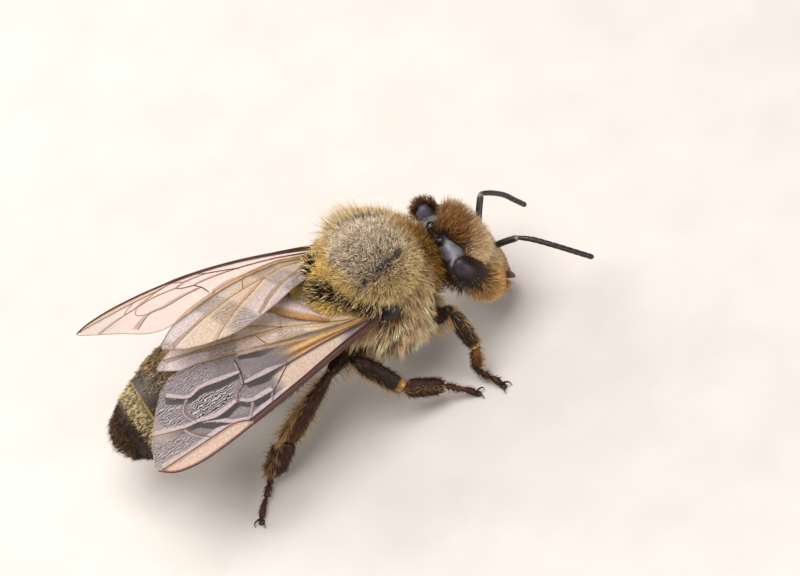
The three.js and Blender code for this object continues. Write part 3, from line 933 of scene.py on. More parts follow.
def antenna_tube(form, path, width, t, dark_from, dark_to, first, last):
    """A dark joint of an antenna with a lighter ring at each end."""
    tint = ring_tints(t, [0, dark_from, dark_to, 1], [first, ANTENNA_TINT, ANTENNA_TINT, last], ANTENNA_SIDES)
    form.add(*in_body_frame(*loft(path, width, width, (0.2, 0.1, 1), ANTENNA_SIDES)), tint)


def antenna_forms(root, elbow, bow, tip):
    root, elbow, bow, tip = (np.array(v) for v in (root, elbow, bow, tip))
    scape = resample([root - 0.15 * unit(elbow - root), (root + elbow) / 2 + (0, 0, 0.06), elbow], 0.03)
    t = np.linspace(0, 1, len(scape))
    width = 0.085 + 0.03 * ramp(t, 0.05, 0.5) - 0.03 * ramp(t, 0.9, 1.0)
    stalk, whip = Form(), Form()
    antenna_tube(stalk, scape, width, t, 0.06, 0.93, JOINT_TINT, JOINT_TINT)
    line = resample([elbow, elbow * 0.6 + bow * 0.4 + (0.03, 0, 0.04), bow, (bow + tip) / 2, tip], 0.02)
    marks = np.linspace(0, 1, len(line))
    edges = np.concatenate([[0, 0.055], 0.055 + 0.945 * np.linspace(0, 1, FLAGELLUM_JOINTS + 1)[1:]])
    s = np.linspace(0, 1, 9)
    for i, (a, b) in enumerate(zip(edges[:-1], edges[1:])):
        points = interpolate(np.linspace(a, b, len(s)), marks, line)
        full = 0.075 if i == 0 else 0.093 - 0.006 * (i == 1)
        width = full * (0.9 + 0.1 * ramp(s, 0, 0.3)) * (1 - 0.05 * ramp(s, 0.85, 1))
        if i == FLAGELLUM_JOINTS:
            width = width * np.sqrt(np.clip(1 - (np.clip(s - 0.55, 0, 1) / 0.47) ** 2, 0.02, 1))
        antenna_tube(whip, points, width, s, 0.12, 0.88, JOINT_TINT * 0.16, JOINT_TINT * 0.14)
    return stalk, whip


for name, points in ANTENNAE.items():
    for form, title in zip(antenna_forms(*points), ("scape", "flagellum")):
        form.build(f"{title}_{name}", ANTENNA, "antenna", [f"antenna_{name}_{title}"])

# ---- abdomen plates

PLATE_DARK = (46, 34, 27)
PLATE_RIM = (206, 166, 98)
PLATE_FELT = (150, 128, 88)
PLATE_BELOW = (88, 62, 36)
PLATE_THICK = 0.03
PLATE_ROWS = 26


def abdomen_plate(index, above):
    """One overlapping plate: a thin shell that rises to its hind rim, as the arguments of Form.add."""
    start, end = SEGMENT_ENDS[index], SEGMENT_ENDS[index + 1]
    last = index == 5
    half, columns = (2.1, 80) if above else (1.35, 52)
    turn = np.linspace(-half, half, columns) + (0 if above else np.pi)
    t = np.linspace(0, 1, PLATE_ROWS)
    step = np.sin(np.linspace(0, np.pi / 2, PLATE_ROWS)) if last else t
    share = start - (0.012 if index else 0) + (end - start + (0.012 if last else 0.018)) * step
    rise = 0 * t if last else (0.055 if above else 0.03) * t**1.5 - (0.02 if above else 0.05)
    s, a = np.meshgrid(share, turn, indexing="ij")
    sheets = [abdomen_surface(s, a, rise[:, None] - depth).reshape(-1, 3) for depth in (0, PLATE_THICK)]
    progress = t[:, None] + 0 * a
    tint = paint(PLATE_DARK, (PLATE_FELT, 0.75 * fall(progress, 0.15, 0.5) * (0 < index < 5)))
    if not last:
        tint = paint(tint, (PLATE_RIM, ramp(progress, 0.96, 0.98) * (1.0 if above else 0.5)))
    if not above:
        tint = paint(tint, (PLATE_BELOW, 0.5))
    ahead = unit(np.gradient(abdomen_axis(share), axis=0))
    lie = np.repeat(ahead, columns, axis=0) @ BODY_TURN.T
    wrap = np.stack([a / (2 * np.pi) % 1.0, s], -1).reshape(-1, 2)
    twice = (np.tile(values, (2, 1)) for values in (tint.reshape(-1, 3), lie, wrap))
    return body_to_row(np.concatenate(sheets)), shell_faces(PLATE_ROWS, columns), *twice


abdomen_hair = {True: Form(), False: Form()}
for i in range(6):
    for above, title in ((True, "tergite"), (False, "sternite")):
        parts = abdomen_plate(i, above)
        Form().add(*parts).build(f"{title}_{i + 1}", PLATE, "cuticle")
        abdomen_hair[above].add(*parts)

# ---- wings

WING_LENGTH = 8.95
FOREWING = {
    "front": [(0, -0.12), (1.6, -0.2), (3.4, -0.34), (5.2, -0.48), (6.6, -0.56), (7.7, -0.54), (8.5, -0.34),
              (8.92, 0.02)],
    "rear": [(0, 0.3), (1.5, 0.74), (3.2, 1.36), (4.8, 2.0), (6.1, 2.44), (6.9, 2.36), (7.6, 1.85), (8.4, 1.05),
             (8.92, 0.22)],
}
HINDWING = {
    "front": [(0.6, 0.2), (1.6, 0.55), (3.2, 1.15), (4.8, 1.8), (5.9, 2.3), (6.7, 2.9)],
    "rear": [(0.6, 1.1), (1.5, 2.1), (2.5, 2.8), (3.5, 3.25), (4.5, 3.48), (5.5, 3.46), (6.25, 3.3), (6.75, 3.05)],
}
WINGS = {
    "right": {"root": (-0.45, -2.0, 0.3), "tip": (-9.17, -3.5, 1.82), "lift": 0.75, "crest": 4.0, "arch": -0.02},
    "left": {"root": (-0.45, 2.0, -0.05), "tip": (-8.71, 2.9, 2.24), "lift": 1.0, "crest": 2.3, "arch": 0.72},
}

# Junctions of the veins, as distance along the wing and inward from its front line.
FORE_JOINTS = {
    "r0": (0.05, 0.08), "m0": (0.1, 0.16), "a0": (0.1, 0.26),
    "r1": (1.6, -0.03), "r2": (3.2, -0.18), "stigma": (5.5, -0.33),
    "m1": (1.2, 0.3), "m2": (2.3, 0.42), "fork": (3.31, 0.51), "b1": (4.02, 0.15), "b2": (4.25, 0.03),
    "b3": (4.56, -0.28), "m3": (5.03, 0.13), "m4": (5.41, 0.42), "m5": (6.25, 0.38), "m6": (6.88, 0.6),
    "m7": (7.4, 0.72), "m8": (8.35, 1.1), "q1": (5.2, -0.08), "n1": (6.0, -0.11), "n2": (6.82, -0.07),
    "n3": (8.0, -0.04), "n4": (8.8, -0.02), "p1": (6.4, 0.25), "w1": (7.15, 0.28), "u1": (4.2, 0.64),
    "u2": (4.9, 0.78), "u3": (5.26, 0.64), "k1": (4.72, 1.16), "k2": (4.6, 1.66), "v1": (5.4, 1.32),
    "v2": (6.1, 1.51), "v3": (6.63, 1.48), "v4": (7.2, 1.98), "y1": (7.02, 1.15), "a1": (1.2, 0.5),
    "a2": (2.1, 0.74), "a3": (3.2, 1.2), "a4": (4.5, 1.74),
}
# Each vein: its junctions, half width, tint and kind.
DARK_VEIN, BROWN_VEIN = (64, 34, 30), (112, 70, 46)
GOLD_VEIN, PALE_VEIN = (176, 138, 82), (142, 98, 78)
LONG, CROSS = 0, 1
FORE_VEINS = [
    ("r0 r1 r2 b3 stigma", 0.05, DARK_VEIN, LONG), ("m0 m1 m2 fork", 0.04, (112, 66, 48), LONG),
    ("fork b1 b2 b3", 0.026, BROWN_VEIN, CROSS), ("b2 m3 m4", 0.022, BROWN_VEIN, LONG),
    ("m4 m5 m6 m7 m8", 0.02, BROWN_VEIN, LONG), ("m3 q1 stigma", 0.02, PALE_VEIN, CROSS),
    ("stigma n1 n2 n3 n4", 0.028, BROWN_VEIN, LONG), ("n1 p1 m6", 0.018, PALE_VEIN, LONG),
    ("n2 w1 m7", 0.018, PALE_VEIN, CROSS), ("fork u1 u2", 0.024, BROWN_VEIN, LONG),
    ("u2 u3 m4", 0.024, BROWN_VEIN, CROSS), ("u2 k1", 0.028, DARK_VEIN, CROSS), ("k1 k2", 0.028, DARK_VEIN, CROSS),
    ("k1 v1 v2 v3 v4", 0.022, BROWN_VEIN, LONG), ("v3 y1 m6", 0.018, PALE_VEIN, CROSS),
    ("a0 a1 a2 a3 a4", 0.036, GOLD_VEIN, LONG),
]
HIND_JOINTS = {
    "r0": (0.62, 0.36), "r1": (1.8, 0.72), "r2": (3.3, 1.3), "r3": (4.7, 1.9), "m0": (0.64, 0.55), "m1": (1.7, 1.1),
    "fork": (2.7, 1.7), "m2": (4.1, 2.25), "m3": (5.3, 2.75), "m4": (6.4, 3.2), "x1": (3.4, 1.4), "x2": (3.55, 2.0),
    "u1": (3.3, 2.25), "u2": (4.3, 2.95), "u3": (5.2, 3.65), "a0": (0.64, 0.8), "a1": (1.6, 1.7), "a2": (2.6, 2.5),
    "a3": (3.4, 3.2), "j1": (1.2, 1.45), "j2": (1.75, 2.05),
}
HIND_VEINS = [
    ("r0 r1 r2 r3", 0.036, GOLD_VEIN, LONG), ("m0 m1 fork", 0.028, GOLD_VEIN, LONG),
    ("fork m2 m3 m4", 0.018, PALE_VEIN, LONG), ("x1 x2", 0.018, PALE_VEIN, CROSS),
    ("fork u1 u2 u3", 0.018, PALE_VEIN, LONG), ("a0 a1 a2 a3", 0.022, GOLD_VEIN, LONG),
    ("a0 j1 j2", 0.02, GOLD_VEIN, LONG),
]


def wing_surface(side, spots, height):
    """Points of a pair of wings in the body frame, for spots given as (along, inward)."""
    wing = WINGS[side]
    sign = SIDES[side]
    spots = np.asarray(spots, float)
    root, tip = np.array(wing["root"]), np.array(wing["tip"])
    axis = unit(tip - root)
    across = unit(np.array([0, -sign, 0]) + axis * axis[1] * sign)
    over = np.cross(axis, across) * sign
    along, inward = spots[..., 0], spots[..., 1]
    roof = np.sin(np.pi / 2 * np.clip(inward / wing["crest"], -0.5, 1.9))
    bow = np.sin(np.pi * np.clip(along / WING_LENGTH, 0, 1))
    rise = wing["lift"] * roof * np.minimum(1, 0.35 + along / 3) + wing["arch"] * bow + height
    return root + axis * along[..., None] + across * inward[..., None] + over * rise[..., None]


VEIN_STEP = 0.03
RIM_POINTS = 260


def vein_paths(joints, veins, outline, hind):
    """Every vein as (points, half widths, tint, kind) in the wing's own plane, the two rims last."""
    paths = []
    for names, half, tint, kind in veins:
        points = resample([joints[name] for name in names.split()], VEIN_STEP)
        t = np.linspace(0, 1, len(points))
        paths.append((points, half * (1 - 0.25 * t), linear(tint) + 0 * t[:, None], kind))
    reach = np.linspace(0, 1, RIM_POINTS)
    front, rear = (spline(outline[edge], reach) for edge in ("front", "rear"))
    if hind:
        return [*paths, (front, 0.026 - 0.012 * reach, paint(GOLD_VEIN, (PALE_VEIN, reach)), LONG),
                (rear, 0.010 + 0 * reach, paint((176, 144, 112), (PALE_VEIN, 0 * reach)), LONG)]
    distal = ramp(front[:, 0], 5.2, 5.7)
    inner = ramp(rear[:, 0], 5.2, 6.4)
    return [*paths, (front, 0.058 - 0.026 * distal - 0.01 * ramp(front[:, 0], 7, 8.9),
                     paint((70, 36, 28), ((72, 38, 24), distal)), LONG),
            (rear, 0.034 - 0.022 * inner, paint(GOLD_VEIN, ((176, 150, 128), inner)), LONG)]


BLOCK = 6000


def vein_distance(spots, paths, kind):
    """Distance of each spot to the nearest vein of a kind, and on which side of it the spot lies.

    The sides of a long vein are told by how far inward they are, and those of a cross vein by how far along.
    """
    nearest = np.full(len(spots), FAR)
    offset = np.zeros(len(spots))
    axis = 1 if kind == LONG else 0
    for line in (points[::2] for points, _, _, own in paths if own == kind):
        for start in range(0, len(spots), BLOCK):
            block = spots[start:start + BLOCK]
            gap = np.linalg.norm(block[:, None] - line[None], axis=2)
            k = gap.argmin(1)
            within = (k > 0) & (k < len(line) - 1)
            d = np.where(within, gap[np.arange(len(block)), k], FAR)
            here = nearest[start:start + BLOCK]
            better = d < here
            here[better] = d[better]
            offset[start:start + BLOCK][better] = (block[:, axis] - line[k, axis])[better]
    return nearest, offset


# Tints and veils of a membrane's painted sheen ribbons, its ground and its painted shade ribbons, set lighter or
# darker for each wing as it is lit.
MEMBRANE_SHEEN_AND_SHADE = {
    "forewing_right": (((170, 158, 162), 0.95), ((108, 99, 99), 0.88), ((26, 15, 6), 0.99)),
    "forewing_left": (((228, 198, 184), 0.5), ((222, 186, 172), 0.28), ((150, 98, 80), 0.42)),
    "hindwing_right": (((214, 200, 196), 0.94), ((206, 194, 194), 0.92), ((150, 124, 88), 0.85)),
    "hindwing_left": (((206, 192, 188), 0.84), ((196, 182, 178), 0.78), ((146, 116, 80), 0.75)),
}
# Where the wrinkles of the forewing are strong: middle as (along, inward), reach, strength.
WRINKLES = [
    ((6.1, 0.98), (0.95, 0.5), 1.0), ((7.3, 1.3), (0.6, 0.7), 0.8), ((6.5, 2.0), (1.3, 0.55), 0.6),
    ((8.0, 0.5), (0.9, 0.6), 0.7), ((5.3, 0.3), (0.7, 0.3), 0.4), ((5.0, 1.1), (0.6, 0.3), 0.4),
]


def film_look(kind, side, flat, paths):
    """Tint, veil and wrinkles of a membrane: each long vein has a painted sheen ribbon inward and a painted shade
    ribbon outward.
    """
    gap, offset = vein_distance(flat, paths[:-2], LONG)
    cross_gap, cross_offset = vein_distance(flat, paths[:-2], CROSS)
    along, inward = flat.T
    reach = ramp(along, 3.3, 4.0) if kind == "forewing" else 0.3
    sway = (1 + 0.2 * np.sin(along * 3.1 + inward * 2.3)) * (0.5 + 0.5 * reach)
    # Painted sheen and painted shade along the veins; cross veins add painted sheen on their side toward the tip.
    light = (offset > 0) * fall(gap, 0.14 * sway, 0.17 * sway) * (0.4 + 0.6 * reach)
    dark = (offset < 0) * fall(gap, 0.18 * sway, 0.22 * sway) * (0.6 + 0.4 * reach)
    cross = fall(cross_gap, 0.05, 0.08) * (cross_offset > 0)
    dark, light = dark * (1 - cross), np.maximum(light, cross * 0.7)
    (pale, pale_veil), (ground, ground_veil), (deep, deep_veil) = MEMBRANE_SHEEN_AND_SHADE[f"{kind}_{side}"]
    tint = paint(ground, (pale, light), (deep, dark))
    veil = ground_veil + (pale_veil - ground_veil) * light + (deep_veil - ground_veil) * dark
    calm = ramp(np.minimum(gap, cross_gap), 0.1, 0.16) * (1 - dark) * (1 - light)
    if kind == "hindwing":
        patch = ramp(np.sin(along * 2.2 + inward * 1.7), 0.0, 0.6)
        beige = ramp(np.sin(along * 1.3 - inward * 1.9 + 1.0), 0.1, 0.8)
        tint = paint(tint, ((206, 176, 132), beige * 0.5), ((120, 108, 96), patch * 0.3))
        return tint, veil, calm * 0.4 * patch, gap
    wrinkle = 0.12 + 0 * along
    for (a, b), (wide, high), strength in WRINKLES:
        away = np.hypot((along - a) / wide, (inward - b) / high)
        wrinkle = np.maximum(wrinkle, strength * fall(away, 0.85, 1.15))

    def line(number):
        points = paths[number][0]
        order = np.argsort(points[:, 0])
        return np.interp(along, points[order, 0], points[order, 1])

    radius, stem, edge, fold, front = (line(number) for number in (0, 1, 6, 15, 16))
    costal = fall(inward, radius + 0.01, radius + 0.04) * fall(along, 5.2, 5.5)
    cell = ramp(along, 5.45, 5.6) * fall(inward, edge - 0.02, edge)
    tint = paint(tint, ((74, 40, 32), costal), ((204, 178, 160), cell),
                 ((150, 108, 78), cell * ramp(inward, edge - 0.11, edge - 0.07) * (1 - 0.4 * reach)),
                 ((138, 88, 50), cell * fall(inward, front + 0.07, front + 0.12)),
                 ((176, 156, 142), ramp(along, 7.0, 8.2) * (1 - cell) * 0.6))
    veil = np.maximum(veil, costal * 0.95) * (1 - cell) + 0.72 * cell
    if side == "left":
        return tint, veil, wrinkle * calm * (1 - costal) * (1 - cell) * ramp(along, 3.6, 4.4) * 0.3, gap
    base = ramp(inward, radius, radius + 0.05) * fall(inward, stem - 0.12, stem - 0.02)
    base = base * ramp(along, 1.0, 1.6) * fall(along, 3.7, 4.2)
    gold = ramp(inward, stem, stem + 0.05) * fall(inward, fold, fold + 0.1) * fall(along, 2.6, 3.5)
    streaks = 0.5 + 0.5 * np.sin(inward * 30 / (0.4 + 0.35 * along))
    tint = mix(paint(tint, ((206, 180, 158), base * 0.8)), paint((196, 158, 92), ((118, 76, 38), streaks)), gold)
    veil = np.maximum.reduce([veil, base * 0.75, gold * 0.9])
    calm = calm * (1 - base) * (1 - gold)
    wrinkle = wrinkle * calm * (1 - costal) * (1 - cell) * ramp(along, 3.6, 4.4)
    return paint(tint, ((172, 162, 165), wrinkle)), veil, wrinkle, gap


MEMBRANE_THICK = 0.012
VEIN_SIDES = 6


def wing_pieces(kind, side):
    hind = kind == "hindwing"
    outline = HINDWING if hind else FOREWING
    paths = vein_paths(HIND_JOINTS if hind else FORE_JOINTS, HIND_VEINS if hind else FORE_VEINS, outline, hind)
    rows, columns = ((250, 90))
    front, rear = (spline(outline[edge], np.linspace(0, 1, rows)) for edge in ("front", "rear"))
    w = np.linspace(0, 1, columns)[None, :, None]
    flat = (front[:, None] * (1 - w) + rear[:, None] * w).reshape(-1, 2)
    tint, veil, wrinkle, gap = film_look(kind, side, flat, paths)
    height = (-0.05 if hind else 0.0) + 0.03 * fall(gap, 0.0, 0.3) * ramp(flat[:, 0], 0.5, 2.0)
    sheets = [wing_surface(side, flat, height - depth) for depth in (0, MEMBRANE_THICK)]
    faces = [f[:, ::-SIDES[side]] for f in shell_faces(rows, columns)]
    film = np.concatenate([veil[:, None], wrinkle[:, None], flat], axis=1)
    sheet = Form().add(body_to_row(np.concatenate(sheets)), faces, np.tile(tint, (2, 1)), film=np.tile(film, (2, 1)))
    sheet.build(f"{kind}_{side}_membrane", MEMBRANE, "wing", [f"{kind}_{side}"])
    tubes = Form()
    for points, half, tints, _ in paths:
        line = wing_surface(side, points, -0.02 if hind else 0.03)
        tubes.add(*in_body_frame(*loft(line, half * 0.85, half * 0.7, (0, 0, 1), VEIN_SIDES)),
                  ring_values(tints, VEIN_SIDES))
    tubes.build(f"{kind}_{side}_veins", VEIN, "wing")


for side in SIDES:
    wing_pieces("forewing", side)
    wing_pieces("hindwing", side)

# The lobe at the base of the right hindwing, folded up over it: its two edges as (along, inward).
LOBE_EDGES = [
    [(2.63, 2.69), (2.21, 2.65), (1.97, 2.42), (1.75, 2.08), (1.63, 1.70), (1.53, 1.25), (1.31, 0.90)],
    [(2.72, 2.57), (2.58, 2.16), (2.29, 1.73), (1.97, 1.35), (1.65, 1.08), (1.46, 0.92), (1.35, 0.84)],
]
LOBE_ROWS, LOBE_COLUMNS = 60, 24
far_edge, near_edge = (spline(edge, np.linspace(0, 1, LOBE_ROWS))[:, None] for edge in LOBE_EDGES)
breadth = np.linspace(0, 1, LOBE_COLUMNS)
flat = (far_edge * (1 - breadth[None, :, None]) + near_edge * breadth[None, :, None]).reshape(-1, 2)
share = np.tile(breadth, LOBE_ROWS)
tint = paint((190, 166, 160), ((158, 126, 78), ramp(share, 0.6, 0.85)), ((168, 108, 54), ramp(share, 0.92, 0.96)))
film = np.stack([0.9 + 0.05 * share, 0.25 * (share < 0.6), *flat.T], 1)
lobe = Form()
for depth, order in ((0, 1), (0.02, -1)):
    swell = 0.12 + 0.14 * np.sin(np.pi * share) - depth
    lobe.add(body_to_row(wing_surface("right", flat, swell)), [grid_faces(LOBE_ROWS, LOBE_COLUMNS)[:, ::order]],
             tint, film=film)
lobe.build("hindwing_right_lobe", MEMBRANE, "wing")

SCALE_BALLS = [  # centre on the left side, radii, tint, rows and columns
    ((-0.02, 2.0, 0.2), (0.4, 0.24, 0.33), (17, 12, 11), (24, 36)),
    ((-0.42, 1.93, 0.12), (0.2, 0.16, 0.17), (24, 15, 12), (14, 20)),
    ((-0.3, 1.86, -0.12), (0.24, 0.16, 0.12), (24, 15, 12), (14, 20)),
]
for name, side in SIDES.items():
    cap = Form()
    for (x, y, z), radii, rgb, counts in SCALE_BALLS:
        cap.add(*in_body_frame(*ball((x, y * side, z), radii, *counts)), linear(rgb))
    cap.build(f"shoulder_scale_{name}", GLOSS, "cuticle", [f"tegula_{name}"])

# ---- legs

LEGS = {  # hip in the body frame, the other joints in the stance, for the right side
    "fore": {"hip": (0.64, -1.12, -2.3), "knee": (1.74, -2.33, 3.1), "ankle": (1.95, -2.82, 1.4),
             "heel": (1.66, -2.84, 0.42), "toe": (2.11, -3.65, 0.16),
             "thigh": 0.24, "shin": (0.25, 0.2), "metatarsus": (0.15, 0.14)},
    "mid": {"hip": (-0.2, -0.75, -1.65), "knee": (-1.86, -1.79, 2.9), "ankle": (-0.77, -2.91, 1.5),
            "heel": (0.46, -3.05, 0.75), "toe": (1.23, -3.44, 0.14),
            "thigh": 0.27, "shin": (0.31, 0.2), "metatarsus": (0.33, 0.15)},
    "hind": {"hip": (-1.3, -0.75, -1.4), "knee": (-2.68, -2.25, 3.3), "ankle": (-5.04, -2.74, 1.9),
             "heel": (-5.9, -2.52, 0.45), "toe": (-6.9, -3.61, 0.16),
             "thigh": 0.3, "shin": (0.37, 0.17), "metatarsus": (0.42, 0.15)},
}
LEFT_STEP = {"fore": 0.25, "mid": 0.3, "hind": -0.3}
LEG_BLACK, LEG_BROWN, TOE_BROWN, JOINT_YELLOW = linear([(33, 24, 19), (62, 32, 16), (74, 40, 20), (214, 166, 84)])


def leg_joints(pair, side):
    """Hip, knee, ankle, heel and toe in the row frame; the left feet are a step off the right ones."""
    step = LEFT_STEP[pair] if side == "left" else 0
    joints = []
    for name, share in (("hip", 0), ("knee", 0.3), ("ankle", 0.8), ("heel", 1), ("toe", 1)):
        x, y, z = LEGS[pair][name]
        place = (x + step * share, -y * SIDES[side], z)
        joints.append(body_to_row(place) if name == "hip" else stance_to_row(place))
    return joints


def bone(form, a, b, profile, depth, up, tints, section, sides=20, bow=(0, 0, 0), rings=34):
    """A leg joint from a to b. profile and depth list its half width and half depth, evenly spaced."""
    a, b = np.asarray(a, float), np.asarray(b, float)
    t = np.linspace(0, 1, rings)
    path = a + (b - a) * t[:, None] + np.asarray(bow) * np.sin(np.pi * t)[:, None]
    end = np.sqrt(np.clip(1 - (np.abs(t - 0.5) * 2) ** 14, 0.0, 1)) * 0.98 + 0.02
    places, faces = loft(path, spline(profile, t) * end, spline(depth, t) * end, up, sides, 0.85)
    around = np.append(np.tile(np.linspace(0, 1, sides, endpoint=False), rings), (0.5, 0.5))
    wrap = np.stack([around, ring_values(t, sides)], -1) * (0.96, 0.12) + (0.02, 0.125 * section)
    form.add(places, faces, ring_tints(t, *zip(*tints), sides), ring_values(unit(np.gradient(path, axis=0)), sides),
             wrap)


DARK_BONE = [(0, LEG_BLACK), (1, LEG_BLACK)]
SHIN_TINTS = {
    "fore": [(0, LEG_BLACK), (0.85, LEG_BLACK), (0.93, JOINT_YELLOW), (1, JOINT_YELLOW)],
    "hind": [(0, LEG_BLACK), (0.3, LEG_BROWN * 0.8), (0.8, linear((60, 30, 15))), (1, linear((98, 56, 26)))],
}
SHIN_TINTS["mid"] = SHIN_TINTS["fore"]
METATARSUS_TINTS = {
    "fore": [(0, linear((176, 108, 46))), (0.3, linear((104, 60, 30))), (1, LEG_BROWN)],
    "mid": [(0, linear((120, 76, 36))), (0.08, linear((48, 24, 12))), (0.9, linear((44, 22, 12))), (1, TOE_BROWN)],
    "hind": [(0, linear((54, 25, 11))), (0.8, linear((48, 22, 10))), (1, linear((132, 78, 36)))],
}
TOE_MARKS = [0, 0.17, 0.33, 0.48, 1.0]


def make_leg(pair, side):
    """The form of one leg, in joined shells from hip to toe, with the place and the way of its toe."""
    leg = LEGS[pair]
    sign = SIDES[side]
    hip, knee, ankle, heel, toe = leg_joints(pair, side)
    up = np.array([0, sign, 0.35])
    form = Form()
    thigh = leg["thigh"]
    shin, shin_depth = leg["shin"]
    meta, meta_depth = leg["metatarsus"]
    out = unit(knee - hip)
    x, y, z = COXAE[pair]
    coxa = body_to_row((x, y * sign, z + 0.25))
    bone(form, coxa, hip + out * 0.3, [0.2, 0.32, 0.33, 0.27, 0.17], [0.2, 0.3, 0.31, 0.25, 0.16], up, DARK_BONE, 0)
    bone(form, hip + out * 0.25, knee + out * 0.06, [0.15, thigh * 0.95, thigh, thigh * 0.8, 0.17],
         [0.14, thigh * 0.8, thigh * 0.85, thigh * 0.7, 0.16], up,
         [(0, LEG_BROWN), (0.1, LEG_BLACK), (1, LEG_BLACK)], 1, bow=(0, 0, 0.05))
    if pair == "hind":
        shape = [0.13, 0.2, 0.27, 0.33, 0.37, 0.36]
    else:
        shape = [0.15, shin * 0.85, shin, shin, shin * 0.92, shin * 0.72]
    bone(form, knee, ankle, shape, np.array([0.7, 0.95, 1, 1, 0.95, 0.8]) * shin_depth, up, SHIN_TINTS[pair], 2)
    bone(form, ankle + unit(heel - ankle) * 0.03, heel, np.array([0.84, 1, 1, 0.97, 0.92, 0.62]) * meta,
         np.array([0.7, 1, 1, 1, 0.9, 0.6]) * meta_depth, up, METATARSUS_TINTS[pair], 3)
    stride = toe - heel
    for i in range(4):
        a, b = heel + stride * TOE_MARKS[i], heel + stride * TOE_MARKS[i + 1]
        sizes = [0.045, 0.075, 0.105, 0.115] if i < 3 else [0.045, 0.07, 0.1, 0.12, 0.1]
        bone(form, a, b + unit(stride) * 0.04, sizes, np.array(sizes) * 0.85, up,
             [(0, TOE_BROWN), (0.7, TOE_BROWN * 0.8), (1, LEG_BROWN)], 4 + i * 0.7, sides=14,
             bow=(0, 0, 0.05 + 0.04 * (i == 3)), rings=18)
    return form, toe, stride


CLAW_TIP_HEIGHT = 0.012
PAD_HEIGHT = 0.077


def claws(toe, stride):
    """Two hooked claws and the pad between them."""
    made = Form()
    heading = math.atan2(stride[1], stride[0])
    ahead = np.array([math.cos(heading), math.sin(heading), 0])
    base = toe + ahead * 0.03
    for spread in (0.6, -0.6):
        out = np.array([math.cos(heading + spread), math.sin(heading + spread), 0])
        path = resample([base, base + out * 0.17 + (0, 0, 0.07), base + out * 0.3 + (0, 0, 0.02),
                         [*(base + out * 0.33)[:2], CLAW_TIP_HEIGHT]], 0.02)
        t = np.linspace(0, 1, len(path))
        made.add(*loft(path, 0.045 * (1 - t) + 0.008, 0.04 * (1 - t) + 0.008, (0, 0, 1), 10), linear((52, 28, 16)))
    pad, faces = ball((0, 0, 0), (0.13, 0.11, 0.075), 14, 20)
    turn = np.array([[ahead[0], -ahead[1], 0], [ahead[1], ahead[0], 0], [0, 0, 1]])
    spot = toe + ahead * 0.1
    made.add(pad @ turn.T + [spot[0], spot[1], PAD_HEIGHT], faces, linear((46, 34, 28)))
    return made


leg_hair = []
for side in SIDES:
    for pair in LEGS:
        form, toe, stride = make_leg(pair, side)
        form.build(f"{pair}_leg_{side}", LEG, "leg",
                   [f"leg_{pair}_{side}_{part}" for part in ("femur", "tibia", "tarsus")])
        claws(toe, stride).build(f"{pair}_claws_{side}", GLOSS, "leg")
        leg_hair.append((pair, side, form))

# ---- the coat


def thorax_part(test):
    """A density over the thorax, thin along the streak, the groove and round the shoulder scale."""
    def density(body):
        x, y, z = body.T
        inside = (x > -2.1) & (x < 2.1) & (z > -2.3)
        tegula = np.linalg.norm((np.abs(body) - (0.0, 1.8, 0.05)) / (0.5, 0.5, 0.35), axis=1) > 1
        parting = 1 - beside(mirrored(body), STREAK, 0.05, 0.09) * (1 - 0.8 * ramp(x, 0.0, 0.8))
        parting = parting * (0.05 + 0.95 * ramp(off_line(wavy(body), GROOVE), 0.1, 0.22))
        return inside * tegula * parting * test(x, y, z)
    return density


def head_part(test):
    """A density over the head outside its bare ground and its eyes."""
    def density(body):
        head = body_to_head(body)
        bare = vertex_bare(head)
        for side in SIDES.values():
            bare = np.maximum(bare, fall(eye_reach(head, side), 0.97, 1.03))
        return (body[:, 0] > 1.95) * (1 - bare) * test(*head.T)
    return density


def behind(x, y, z):
    return fall(x, -1.0, -0.7) * ramp(z, -0.9, -0.5)


def rim_share(body):
    return scutum_rim(body[:, 0], body[:, 1])


def seam_share(body, reach=0.6):
    return beside(mirrored(body), GROOVE, 0.2, reach)


def lock_tints(body):
    root, tip = thorax_fur(body)
    return root * 0.7, paint(tip, ((255, 220, 184), 0.6))


# Painted shade: a coat of near-black hairs along the groove, some with lighter tips.
GROOVE_PAINTED_SHADE = linear((26, 18, 12))

